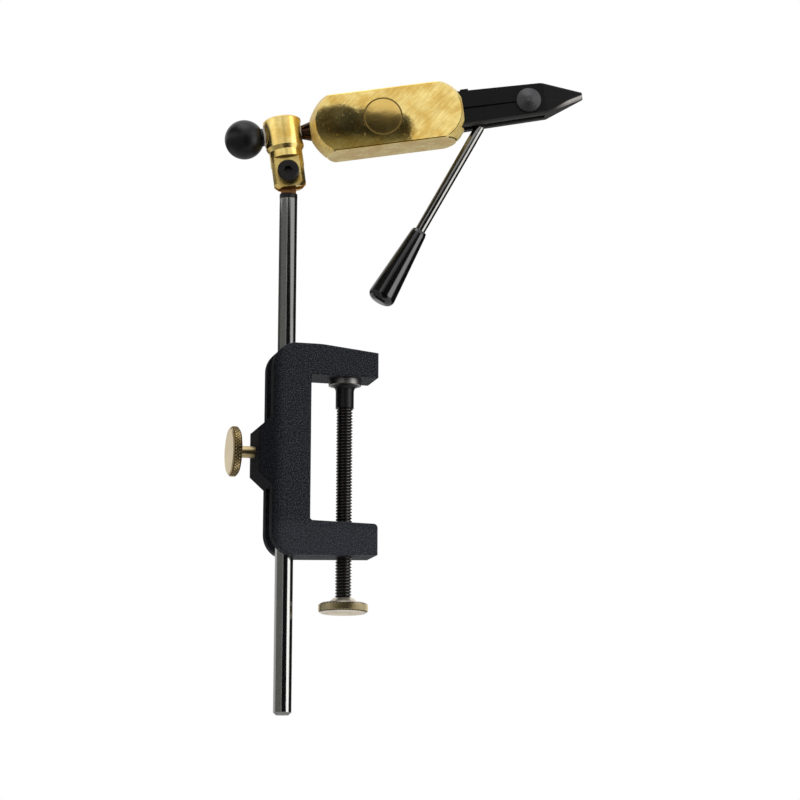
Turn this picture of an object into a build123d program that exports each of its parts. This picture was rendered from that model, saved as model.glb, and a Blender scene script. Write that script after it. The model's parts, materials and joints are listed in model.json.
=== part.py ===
"""Fly tying vise: C-clamp, sliding post, tilting and turning head, lever-opened spring jaws.

Millimetres, +Z up. The origin is the clamping seat: the point of the upper arm's underside
that lies on the clamp screw's axis. +X is the way the arms and the jaws point.
"""
from math import cos, radians, sin, sqrt
import os

from build123d import *

# Shared clearances and overrun
RUNNING_FIT = 0.05
SEAT_GAP = 0.1
FREE_GAP = 0.4
OVERRUN = 2.0

# Post and pivot stud
POST_DIAMETER = 9.525
POST_REACH = 31.6
POST_TOP = 96.2
POST_FOOT = -176.3
POST_CHAMFER = 1.5
STUD_SPIGOT_DIAMETER = 6.0
STUD_SPIGOT_LENGTH = 20.0
STUD_RING_HEIGHT = 2.6
TONGUE_WIDTH = 8.0
TONGUE_THICKNESS = 5.0
PIVOT_RISE = 10.8

# C-frame
FRAME_THICKNESS = 24.0
CHEEK_REACH = 9.1
THROAT_DEPTH = 20.5
ARM_OVERHANG = 15.4
THROAT_HEIGHT = 76.6
UPPER_ARM_ROOT = 16.4
UPPER_ARM_TIP = 13.2
UPPER_ARM_FLAT = 5.5
ARM_BEND_RADIUS = 60.0
LOWER_ARM_ROOT = 18.8
LOWER_ARM_TIP = 18.1
LOWER_ARM_RISE = 1.8
CHEEK_CORNER_RADIUS = 12.5
ARM_CORNER_RADIUS = 2.2
THROAT_CORNER_RADIUS = 1.5
FRAME_EDGE_RADIUS = 1.0
BOSS_REACH = 16.5
BOSS_FACE_HEIGHT = 23.2
BOSS_ROOT_HEIGHT = 36.4

# Lock screw and its shoe
LOCK_HEIGHT = -40.9
LOCK_SHANK_DIAMETER = 6.2
LOCK_KNOB_DIAMETER = 25.0
LOCK_KNOB_THICKNESS = 4.8
LOCK_KNOB_REACH = 29.9
LOCK_KNOB_CHAMFER = 0.7
LOCK_HUB_DIAMETER = 11.0
LOCK_HUB_HEIGHT = 1.2
SHOE_LENGTH = 4.0
SHOE_PIN_DIAMETER = 3.0
SHOE_PIN_LENGTH = 3.0

# Clamp screw, pad and knob
SCREW_DIAMETER = 8.5
SCREW_SPIGOT_DIAMETER = 5.0
PAD_FLANGE_DIAMETER = 17.2
PAD_FLANGE_HEIGHT = 3.0
PAD_NECK_DIAMETER = 9.6
PAD_HEIGHT = 15.2
PAD_FLARE_RADIUS = 3.4
PAD_SOCKET_DEPTH = 11.0
KNOB_TOP = -115.4
KNOB_DIAMETER = 24.6
KNOB_RIM_HEIGHT = 5.4
KNOB_HUB_HEIGHT = 2.4
KNOB_HUB_TOP_DIAMETER = 10.6
KNOB_HUB_FOOT_DIAMETER = 16.0
KNOB_CHAMFER = 0.8
KNOB_DISH_DIAMETER = 19.0
KNOB_DISH_DEPTH = 0.8

# Knuckle
HEAD_TILT = 8.0
HEAD_SWIVEL = 14.0
SHAFT_RISE = 22.5
KNUCKLE_HEAD_DIAMETER = 20.3
KNUCKLE_FOOT_DIAMETER = 17.8
KNUCKLE_TOP = 8.2
KNUCKLE_STEP = 7.6
KNUCKLE_TAPER = 2.2
KNUCKLE_FOOT = 30.0
KNUCKLE_EDGE_CHAMFER = 0.9
KNUCKLE_FOOT_CHAMFER = 2.0
FORK_DEPTH_OVER_PIVOT = 5.0
FLAT_DEPTH = 5.9
FLAT_TOP = 13.6
SPOT_FACE_REACH = 9.6
SPOT_FACE_DIAMETER = 13.0

# Tilt screw
TILT_SHANK_DIAMETER = 5.0
TILT_HEAD_DIAMETER = 11.4
TILT_HEAD_HEIGHT = 5.0
TILT_HEAD_CHAMFER = 0.6
TILT_SOCKET_ACROSS = 4.0
TILT_SOCKET_DEPTH = 2.6
TILT_END_REACH = 8.2

# Spindle, bushes and ball
SPINDLE_DIAMETER = 6.35
BUSH_DIAMETER = 9.0
BUSH_LENGTH = 7.0
BUSH_FLANGE_DIAMETER = 11.6
BUSH_FLANGE_HEIGHT = 0.8
BALL_DIAMETER = 21.0
BALL_REACH = 21.0
BALL_NECK_DIAMETER = 9.5
BALL_SOCKET_DEPTH = 9.0
NECK_FOOT_DIAMETER = 7.4
NECK_HEAD_DIAMETER = 10.4
SPINDLE_TENON_DIAMETER = 8.0
SPINDLE_TENON_LENGTH = 18.0
GRUB_DIAMETER = 4.0
GRUB_PLACE = 10.0
GRUB_SOCKET_ACROSS = 2.0

# Head block
BLOCK_REAR = 14.5
BLOCK_LENGTH = 82.0
BLOCK_HEIGHT = 31.4
BLOCK_THICKNESS = 22.0
BLOCK_EDGE_RADIUS = 0.7
REAR_MID_LENGTH = 4.7
REAR_MID_RADIUS = 13.0
REAR_TURN_LENGTH = 12.5
FRONT_TURN_LENGTH = 13.6
FRONT_MID_LENGTH = 4.6
FRONT_MID_RADIUS = 15.0
FRONT_END_RADIUS = 9.6
TURN_RADIUS = 19.4
DISC_DIAMETER = 20.8
DISC_DEPTH = 0.8
DISC_PLACE = 39.1
DISC_GAP = 0.1

# Jaws
JAW_TAIL = 22.0
JAW_HINGE = 10.0
JAW_REACH = 65.0
JAW_HALF_ROOT = 9.8
JAW_HALF_FRONT = 8.7
JAW_FOOT_ROOT = 9.2
JAW_FOOT_FRONT = 8.1
JAW_OUTER = 6.8
JAW_INNER = 2.9
JAW_MEET_GAP = 0.05
JAW_POCKET_END = 43.5
JAW_NOSE_START = 44.5
JAW_TIP_TOP = 2.4
JAW_TIP_FOOT = 1.4
JAW_TIP_OUTER = 1.6
JAW_BEVEL = 0.9
JAW_FOOT_BEVEL = 0.9
JAW_FOOT_BEVEL_PLACE = 7.0
BEVEL_ANGLE = 45.0
SLIT_START_WIDTH = 1.3
SLIT_END_WIDTH = 0.7
SLIT_DEPTH = 1.2
SLIT_END = 29.0
DOWEL_DIAMETER = 2.4
DOWEL_FOOT = 13.0
SPACER_DOWEL_PLACE = 16.5

# Anvil buttons
ANVIL_PLACE = 35.6
ANVIL_DIAMETER = 13.0
ANVIL_PLUG_DIAMETER = 6.0
ANVIL_RING_STEP = 1.2
ANVIL_RING_HEIGHT = 0.6
ANVIL_RING_COUNT = 5
ANVIL_SLOPE_SHARE = 0.7
ANVIL_RIM_HEIGHT = 0.8
ANVIL_TIP_DIAMETER = 1.2
ANVIL_TIP_GAP = 0.2

# Spacer, lever cam and lever
SPACER_HALF = 2.4
SPACER_HALF_HEIGHT = 8.0
SPACER_ARM_TOP = 1.6
SPACER_ARM_FOOT = -3.6
SPACER_TAB_PLACE = 0.4
SPACER_TAB_LENGTH = 4.2
SPACER_TAB_TOP = 12.0
PIVOT_PLACE = 12.3
PIVOT_DROP = 4.0
EAR_RADIUS = 3.8
EAR_SLOT_HALF = 1.0
EAR_SLOT_LENGTH = 7.0
CAM_HALF = 0.9
CAM_EYE_RADIUS = 3.5
CAM_ARM_FOOT = -5.6
CAM_ARM_TOP = 1.2
CAM_NOSE_LENGTH = 7.0
CAM_NOSE_FOOT = -2.6
CAM_NOSE_TOP = 6.2
CAM_WEDGE_SLOPE_SHARE = 0.22
LEVER_PIN_DIAMETER = 3.0
LEVER_LEAN = 37.1
ROD_DIAMETER = 5.56
ROD_TOP = 7.0
ROD_SLOT_DEPTH = 8.0
TANG_WIDTH = 3.2
RIVET_DIAMETER = 1.6
GRIP_TOP = 73.0
GRIP_LENGTH = 44.2
GRIP_TOP_DIAMETER = 8.6
GRIP_FOOT_DIAMETER = 14.6
GRIP_SOCKET_DEPTH = 30.0
GRIP_END_RADIUS = 4.0
GRIP_LIP = 1.6
GRIP_LIP_BEVEL = 0.4

os.makedirs("parts", exist_ok=True)


def turned(plane, *points):
    """A face on the plane whose local x runs along the turning axis and local y is the radius."""
    with BuildSketch(plane) as profile:
        with BuildLine():
            Polyline(*points, close=True)
        make_face()
    return profile.sketch


def along(plane):
    """The turning axis of a plane: its local x direction through its origin."""
    return Axis(plane.origin, plane.x_dir)


def finish(piece, name):
    """Labels a finished piece and writes it."""
    piece.part.label = name
    export_step(piece.part, f"parts/{name}.step")


# Frames of the assembly
post_radius = POST_DIAMETER / 2
post_x = -POST_REACH
pivot_height = POST_TOP + STUD_RING_HEIGHT + PIVOT_RISE
tilt = radians(HEAD_TILT)
swivel = radians(HEAD_SWIVEL)
side = Vector(-sin(swivel), -cos(swivel), 0)
level = Vector(cos(swivel), -sin(swivel), 0)
forward = level * cos(tilt) + Vector(0, 0, sin(tilt))
upward = Vector(0, 0, cos(tilt)) - level * sin(tilt)
pivot = Vector(post_x, 0, pivot_height)

UPRIGHT = Plane(origin=(post_x, 0, 0), x_dir=(0, 0, 1), z_dir=(0, -1, 0))
SCREW = Plane(origin=(0, 0, 0), x_dir=(0, 0, 1), z_dir=(0, -1, 0))
LOCK = Plane(origin=(post_x, 0, LOCK_HEIGHT), x_dir=(-1, 0, 0), z_dir=(0, -1, 0))
STUD = Plane(origin=pivot, x_dir=level, z_dir=side)
TILT = Plane(origin=pivot, x_dir=side, z_dir=level)
HEAD = Plane(origin=pivot + upward * SHAFT_RISE, x_dir=forward, z_dir=side)
KNUCKLE = Plane(origin=HEAD.origin, x_dir=upward, z_dir=side)


def head_point(reach, rise, out=0):
    """A point of the head frame: along the spindle, up, and out towards the near side."""
    return HEAD.from_local_coords(Vector(reach, rise, out))


# C-frame
cheek_edge = post_x - CHEEK_REACH
frame_foot = -THROAT_HEIGHT - LOWER_ARM_ROOT
channel_radius = post_radius + SEAT_GAP
frame_height = UPPER_ARM_ROOT - frame_foot
with BuildPart() as clamp_frame:
    with BuildSketch(Plane.XZ):
        with BuildLine():
            Polyline(
                (cheek_edge, UPPER_ARM_ROOT),
                (UPPER_ARM_FLAT - THROAT_DEPTH, UPPER_ARM_ROOT),
                (ARM_OVERHANG, UPPER_ARM_TIP),
                (ARM_OVERHANG, 0),
                (-THROAT_DEPTH, 0),
                (-THROAT_DEPTH, -THROAT_HEIGHT),
                (ARM_OVERHANG, frame_foot + LOWER_ARM_TIP),
                (ARM_OVERHANG, frame_foot + LOWER_ARM_RISE),
                (cheek_edge, frame_foot),
                close=True,
            )
        make_face()
        corners = vertices().sort_by(Axis.X)
        fillet(corners[:2], CHEEK_CORNER_RADIUS)
        tips = vertices().group_by(Axis.X)[-1].sort_by(Axis.Y)
        fillet(tips[1], ARM_CORNER_RADIUS)
        bend = vertices().sort_by_distance((UPPER_ARM_FLAT - THROAT_DEPTH, UPPER_ARM_ROOT, 0))[0]
        fillet(bend, ARM_BEND_RADIUS)
    extrude(amount=FRAME_THICKNESS / 2, both=True)
    throat_edges = edges().filter_by(Axis.Y).filter_by_position(
        Axis.X, -THROAT_DEPTH - SEAT_GAP, -THROAT_DEPTH + SEAT_GAP
    ).filter_by_position(Axis.Z, -THROAT_HEIGHT - SEAT_GAP, SEAT_GAP)
    fillet(throat_edges, THROAT_CORNER_RADIUS)
    with BuildSketch(Plane.XZ):
        with BuildLine():
            Polyline(
                (post_x, LOCK_HEIGHT + BOSS_ROOT_HEIGHT / 2),
                (cheek_edge, LOCK_HEIGHT + BOSS_ROOT_HEIGHT / 2),
                (post_x - BOSS_REACH, LOCK_HEIGHT + BOSS_FACE_HEIGHT / 2),
                (post_x - BOSS_REACH, LOCK_HEIGHT - BOSS_FACE_HEIGHT / 2),
                (cheek_edge, LOCK_HEIGHT - BOSS_ROOT_HEIGHT / 2),
                (post_x, LOCK_HEIGHT - BOSS_ROOT_HEIGHT / 2),
                close=True,
            )
        make_face()
    extrude(amount=FRAME_THICKNESS / 2, both=True)
    outer_faces = faces().filter_by(Axis.Y).sort_by(Axis.Y)
    fillet(outer_faces[0].outer_wire().edges(), FRAME_EDGE_RADIUS)
    outer_faces = faces().filter_by(Axis.Y).sort_by(Axis.Y)
    fillet(outer_faces[-1].outer_wire().edges(), FRAME_EDGE_RADIUS)
    channel_width = 2 * channel_radius
    upper_channel = UPPER_ARM_ROOT - LOCK_HEIGHT - BOSS_ROOT_HEIGHT / 2
    lower_channel = LOCK_HEIGHT - BOSS_ROOT_HEIGHT / 2 - frame_foot
    channel_depth = CHEEK_REACH + OVERRUN
    with BuildSketch(Plane.XY.offset(UPPER_ARM_ROOT + OVERRUN)):
        with Locations((post_x - channel_depth / 2, 0)):
            Rectangle(channel_depth, channel_width)
    extrude(amount=-upper_channel - OVERRUN, mode=Mode.SUBTRACT)
    with BuildSketch(Plane.XY.offset(frame_foot - OVERRUN)):
        with Locations((post_x - channel_depth / 2, 0)):
            Rectangle(channel_depth, channel_width)
    extrude(amount=lower_channel + OVERRUN, mode=Mode.SUBTRACT)
    with BuildSketch(Plane.XY.offset(frame_foot - OVERRUN)):
        with Locations((post_x, 0)):
            Circle(channel_radius)
    extrude(amount=frame_height + 2 * OVERRUN, mode=Mode.SUBTRACT)
    with BuildSketch(Plane.XY.offset(frame_foot - OVERRUN)):
        Circle(SCREW_DIAMETER / 2 + RUNNING_FIT)
    extrude(amount=LOWER_ARM_ROOT + 2 * OVERRUN, mode=Mode.SUBTRACT)
    with BuildSketch(Plane.YZ.offset(post_x)):
        with Locations((0, LOCK_HEIGHT)):
            Circle(LOCK_SHANK_DIAMETER / 2 + RUNNING_FIT)
    extrude(amount=-BOSS_REACH - OVERRUN, mode=Mode.SUBTRACT)
finish(clamp_frame, "clamp_frame")

# Clamp pad: flange, flared neck and a blind socket for the screw's spigot
pad_top = -SEAT_GAP
pad_neck_radius = PAD_NECK_DIAMETER / 2
socket_radius = SCREW_SPIGOT_DIAMETER / 2 + RUNNING_FIT
flange_foot = pad_top - PAD_FLANGE_HEIGHT
socket_top = pad_top - PAD_HEIGHT + PAD_SOCKET_DEPTH
with BuildPart() as clamp_pad:
    with BuildSketch(SCREW):
        with BuildLine():
            flare_foot = (flange_foot - PAD_FLARE_RADIUS, pad_neck_radius)
            flare_head = (flange_foot, pad_neck_radius + PAD_FLARE_RADIUS)
            RadiusArc(flare_foot, flare_head, -PAD_FLARE_RADIUS)
            Polyline(
                flare_head,
                (flange_foot, PAD_FLANGE_DIAMETER / 2),
                (pad_top, PAD_FLANGE_DIAMETER / 2),
                (pad_top, 0),
                (socket_top, 0),
                (socket_top, socket_radius),
                (pad_top - PAD_HEIGHT, socket_radius),
                (pad_top - PAD_HEIGHT, pad_neck_radius),
                flare_foot,
            )
        make_face()
    revolve(axis=along(SCREW))
finish(clamp_pad, "clamp_pad")

# Clamp screw: plain round stock at the thread's outside diameter, with a spigot for the pad
screw_shoulder = pad_top - PAD_HEIGHT - SEAT_GAP
screw_foot = KNOB_TOP - KNOB_HUB_HEIGHT - KNOB_RIM_HEIGHT + KNOB_DISH_DEPTH
with BuildPart() as clamp_screw:
    revolve(
        turned(
            SCREW,
            (screw_foot, 0),
            (screw_foot, SCREW_DIAMETER / 2),
            (screw_shoulder, SCREW_DIAMETER / 2),
            (screw_shoulder, SCREW_SPIGOT_DIAMETER / 2),
            (socket_top - SEAT_GAP, SCREW_SPIGOT_DIAMETER / 2),
            (socket_top - SEAT_GAP, 0),
        ),
        axis=along(SCREW),
    )
finish(clamp_screw, "clamp_screw")

# Clamp knob: coned hub over a rim, dished below
knob_bore = SCREW_DIAMETER / 2 + RUNNING_FIT
knob_shoulder = KNOB_TOP - KNOB_HUB_HEIGHT
knob_foot = knob_shoulder - KNOB_RIM_HEIGHT
with BuildPart() as clamp_knob:
    revolve(
        turned(
            SCREW,
            (KNOB_TOP, knob_bore),
            (KNOB_TOP, KNOB_HUB_TOP_DIAMETER / 2),
            (knob_shoulder, KNOB_HUB_FOOT_DIAMETER / 2),
            (knob_shoulder, KNOB_DIAMETER / 2 - KNOB_CHAMFER),
            (knob_shoulder - KNOB_CHAMFER, KNOB_DIAMETER / 2),
            (knob_foot + KNOB_CHAMFER, KNOB_DIAMETER / 2),
            (knob_foot, KNOB_DIAMETER / 2 - KNOB_CHAMFER),
            (knob_foot, KNOB_DISH_DIAMETER / 2),
            (knob_foot + KNOB_DISH_DEPTH, KNOB_DISH_DIAMETER / 2 - KNOB_DISH_DEPTH),
            (knob_foot + KNOB_DISH_DEPTH, knob_bore),
        ),
        axis=along(SCREW),
    )
finish(clamp_knob, "clamp_knob")

# Lock shoe: a plug between the lock screw and the post, with a pin that keeps it on the screw
shoe_near = post_radius + SEAT_GAP
shoe_far = shoe_near + SHOE_LENGTH
lock_bore = LOCK_SHANK_DIAMETER / 2
with BuildPart() as lock_shoe:
    revolve(
        turned(
            LOCK,
            (shoe_near, 0),
            (shoe_near, lock_bore),
            (shoe_far, lock_bore),
            (shoe_far, SHOE_PIN_DIAMETER / 2),
            (shoe_far + SHOE_PIN_LENGTH, SHOE_PIN_DIAMETER / 2),
            (shoe_far + SHOE_PIN_LENGTH, 0),
        ),
        axis=along(LOCK),
    )
finish(lock_shoe, "lock_shoe")

# Lock screw: shank, hub and knob in one turned piece
lock_tip = shoe_far + SEAT_GAP
lock_face = LOCK_KNOB_REACH
lock_back = lock_face - LOCK_KNOB_THICKNESS
lock_radius = LOCK_KNOB_DIAMETER / 2
shoe_pin_hole = SHOE_PIN_DIAMETER / 2 + RUNNING_FIT
with BuildPart() as lock_screw:
    revolve(
        turned(
            LOCK,
            (lock_tip, shoe_pin_hole),
            (lock_tip, lock_bore),
            (lock_back - LOCK_HUB_HEIGHT, lock_bore),
            (lock_back - LOCK_HUB_HEIGHT, LOCK_HUB_DIAMETER / 2),
            (lock_back, LOCK_HUB_DIAMETER / 2),
            (lock_back, lock_radius - LOCK_KNOB_CHAMFER),
            (lock_back + LOCK_KNOB_CHAMFER, lock_radius),
            (lock_face - LOCK_KNOB_CHAMFER, lock_radius),
            (lock_face, lock_radius - LOCK_KNOB_CHAMFER),
            (lock_face, 0),
            (shoe_far + SHOE_PIN_LENGTH + SEAT_GAP, 0),
            (shoe_far + SHOE_PIN_LENGTH + SEAT_GAP, shoe_pin_hole),
        ),
        axis=along(LOCK),
    )
finish(lock_screw, "lock_screw")

# Post: bright round bar, drilled at the top for the pivot stud
stud_bore = STUD_SPIGOT_DIAMETER / 2 + RUNNING_FIT
with BuildPart() as post:
    revolve(
        turned(
            UPRIGHT,
            (POST_FOOT, 0),
            (POST_FOOT, post_radius - POST_CHAMFER),
            (POST_FOOT + POST_CHAMFER, post_radius),
            (POST_TOP, post_radius),
            (POST_TOP, stud_bore),
            (POST_TOP - STUD_SPIGOT_LENGTH - SEAT_GAP, stud_bore),
            (POST_TOP - STUD_SPIGOT_LENGTH - SEAT_GAP, 0),
        ),
        axis=along(UPRIGHT),
    )
finish(post, "post")

# Ring between post and tongue
with BuildPart() as stud_ring:
    with BuildSketch(Plane.XY.offset(POST_TOP)):
        with Locations((post_x, 0)):
            Circle(post_radius)
            Circle(stud_bore, mode=Mode.SUBTRACT)
    extrude(amount=STUD_RING_HEIGHT)
finish(stud_ring, "stud_ring")

# Pivot stud: a flat tongue with a round eye on a round spigot
with BuildPart() as pivot_stud:
    tongue_length = PIVOT_RISE - RUNNING_FIT
    with BuildSketch(STUD):
        Circle(TONGUE_WIDTH / 2)
        with Locations((0, -tongue_length / 2)):
            Rectangle(TONGUE_WIDTH, tongue_length)
        Circle(TILT_SHANK_DIAMETER / 2 + RUNNING_FIT, mode=Mode.SUBTRACT)
    extrude(amount=TONGUE_THICKNESS / 2, both=True)
    with BuildSketch(Plane.XY.offset(POST_TOP - STUD_SPIGOT_LENGTH)):
        with Locations((post_x, 0)):
            Circle(STUD_SPIGOT_DIAMETER / 2)
    extrude(amount=STUD_SPIGOT_LENGTH + STUD_RING_HEIGHT + RUNNING_FIT)
finish(pivot_stud, "pivot_stud")

# Knuckle: stepped collar with a fork below, a milled flat in front and a cross bore
head_radius = KNUCKLE_HEAD_DIAMETER / 2
foot_radius = KNUCKLE_FOOT_DIAMETER / 2
bush_seat = BUSH_DIAMETER / 2 + RUNNING_FIT
with BuildPart() as knuckle:
    revolve(
        turned(
            KNUCKLE,
            (-KNUCKLE_FOOT, 0),
            (-KNUCKLE_FOOT, foot_radius - KNUCKLE_FOOT_CHAMFER),
            (-KNUCKLE_FOOT + KNUCKLE_FOOT_CHAMFER, foot_radius),
            (-KNUCKLE_STEP - KNUCKLE_TAPER, foot_radius),
            (-KNUCKLE_STEP, head_radius),
            (KNUCKLE_TOP - KNUCKLE_EDGE_CHAMFER, head_radius),
            (KNUCKLE_TOP, head_radius - KNUCKLE_EDGE_CHAMFER),
            (KNUCKLE_TOP, 0),
        ),
        axis=along(KNUCKLE),
    )
    fork_width = TONGUE_THICKNESS + 2 * RUNNING_FIT
    fork_top = FORK_DEPTH_OVER_PIVOT - SHAFT_RISE
    fork_depth = KNUCKLE_FOOT + fork_top + OVERRUN
    with BuildSketch(HEAD):
        with Locations((0, fork_top - fork_depth / 2)):
            Rectangle(KNUCKLE_HEAD_DIAMETER + OVERRUN, fork_depth)
    extrude(amount=fork_width / 2, both=True, mode=Mode.SUBTRACT)
    flat_height = KNUCKLE_FOOT - FLAT_TOP + OVERRUN
    with BuildSketch(HEAD.offset(FLAT_DEPTH)):
        with Locations((0, -FLAT_TOP - flat_height / 2)):
            Rectangle(KNUCKLE_HEAD_DIAMETER, flat_height)
    extrude(amount=head_radius, mode=Mode.SUBTRACT)
    with BuildSketch(HEAD.offset(-head_radius)):
        with Locations((0, -SHAFT_RISE)):
            Circle(TILT_SHANK_DIAMETER / 2 + RUNNING_FIT)
    extrude(amount=KNUCKLE_HEAD_DIAMETER, mode=Mode.SUBTRACT)
    for reach, way in ((-SPOT_FACE_REACH, -1), (SPOT_FACE_REACH, 1)):
        with BuildSketch(Plane(origin=head_point(reach, 0), x_dir=side, z_dir=forward * way)):
            Circle(SPOT_FACE_DIAMETER / 2)
        extrude(amount=head_radius, mode=Mode.SUBTRACT)
    with BuildSketch(Plane(origin=head_point(-head_radius, 0), x_dir=side, z_dir=forward)):
        Circle(bush_seat)
    extrude(amount=KNUCKLE_HEAD_DIAMETER, mode=Mode.SUBTRACT)
finish(knuckle, "knuckle")

# Tilt screw: socket head on the flat, shank through the fork and the tongue
tilt_seat = FLAT_DEPTH + RUNNING_FIT
with BuildPart() as tilt_screw:
    revolve(
        turned(
            TILT,
            (-TILT_END_REACH, 0),
            (-TILT_END_REACH, TILT_SHANK_DIAMETER / 2),
            (tilt_seat, TILT_SHANK_DIAMETER / 2),
            (tilt_seat, TILT_HEAD_DIAMETER / 2),
            (tilt_seat + TILT_HEAD_HEIGHT - TILT_HEAD_CHAMFER, TILT_HEAD_DIAMETER / 2),
            (tilt_seat + TILT_HEAD_HEIGHT, TILT_HEAD_DIAMETER / 2 - TILT_HEAD_CHAMFER),
            (tilt_seat + TILT_HEAD_HEIGHT, 0),
        ),
        axis=along(TILT),
    )
    socket_centre = head_point(0, -SHAFT_RISE, tilt_seat + TILT_HEAD_HEIGHT)
    with BuildSketch(Plane(origin=socket_centre, x_dir=forward, z_dir=side)):
        RegularPolygon(TILT_SOCKET_ACROSS / 2, 6, major_radius=False)
    extrude(amount=-TILT_SOCKET_DEPTH, mode=Mode.SUBTRACT)
finish(tilt_screw, "tilt_screw")

# Bushes: the rear one has the pale flange that the ball turns against
spindle_hole = SPINDLE_DIAMETER / 2 + RUNNING_FIT
bush_radius = BUSH_DIAMETER / 2
with BuildPart() as rear_bush:
    revolve(
        turned(
            HEAD,
            (-SPOT_FACE_REACH - BUSH_FLANGE_HEIGHT, spindle_hole),
            (-SPOT_FACE_REACH - BUSH_FLANGE_HEIGHT, BUSH_FLANGE_DIAMETER / 2),
            (-SPOT_FACE_REACH, BUSH_FLANGE_DIAMETER / 2),
            (-SPOT_FACE_REACH, bush_radius),
            (-SPOT_FACE_REACH + BUSH_LENGTH, bush_radius),
            (-SPOT_FACE_REACH + BUSH_LENGTH, spindle_hole),
        ),
        axis=along(HEAD),
    )
finish(rear_bush, "rear_bush")

with BuildPart() as front_bush:
    revolve(
        turned(
            HEAD,
            (SPOT_FACE_REACH - BUSH_LENGTH, spindle_hole),
            (SPOT_FACE_REACH - BUSH_LENGTH, bush_radius),
            (SPOT_FACE_REACH, bush_radius),
            (SPOT_FACE_REACH, spindle_hole),
        ),
        axis=along(HEAD),
    )
finish(front_bush, "front_bush")

# Spindle: journal through the bushes, tapered neck, tenon in the block
ball_inner_end = -BALL_REACH - BALL_DIAMETER / 2 + BALL_SOCKET_DEPTH
neck_start = SPOT_FACE_REACH + SEAT_GAP
with BuildPart() as head_spindle:
    revolve(
        turned(
            HEAD,
            (ball_inner_end, 0),
            (ball_inner_end, SPINDLE_DIAMETER / 2),
            (neck_start, SPINDLE_DIAMETER / 2),
            (neck_start, NECK_FOOT_DIAMETER / 2),
            (BLOCK_REAR, NECK_HEAD_DIAMETER / 2),
            (BLOCK_REAR, SPINDLE_TENON_DIAMETER / 2),
            (BLOCK_REAR + SPINDLE_TENON_LENGTH, SPINDLE_TENON_DIAMETER / 2),
            (BLOCK_REAR + SPINDLE_TENON_LENGTH, 0),
        ),
        axis=along(HEAD),
    )
finish(head_spindle, "head_spindle")

# Ball knob: a ball with a short neck, drilled for the spindle
ball_neck_end = -SPOT_FACE_REACH - BUSH_FLANGE_HEIGHT - SEAT_GAP
ball_radius = BALL_DIAMETER / 2
ball_neck_radius = BALL_NECK_DIAMETER / 2
ball_drill_end = ball_inner_end - SEAT_GAP
with BuildPart() as ball_knob:
    with BuildSketch(HEAD):
        with BuildLine():
            ball_pole = (-BALL_REACH - ball_radius, 0)
            neck_root = (sqrt(ball_radius**2 - ball_neck_radius**2) - BALL_REACH, ball_neck_radius)
            ThreePointArc(ball_pole, (-BALL_REACH, ball_radius), neck_root)
            Polyline(
                neck_root,
                (ball_neck_end, ball_neck_radius),
                (ball_neck_end, spindle_hole),
                (ball_drill_end, spindle_hole),
                (ball_drill_end, 0),
                ball_pole,
            )
        make_face()
    revolve(axis=along(HEAD))
finish(ball_knob, "ball_knob")

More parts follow.
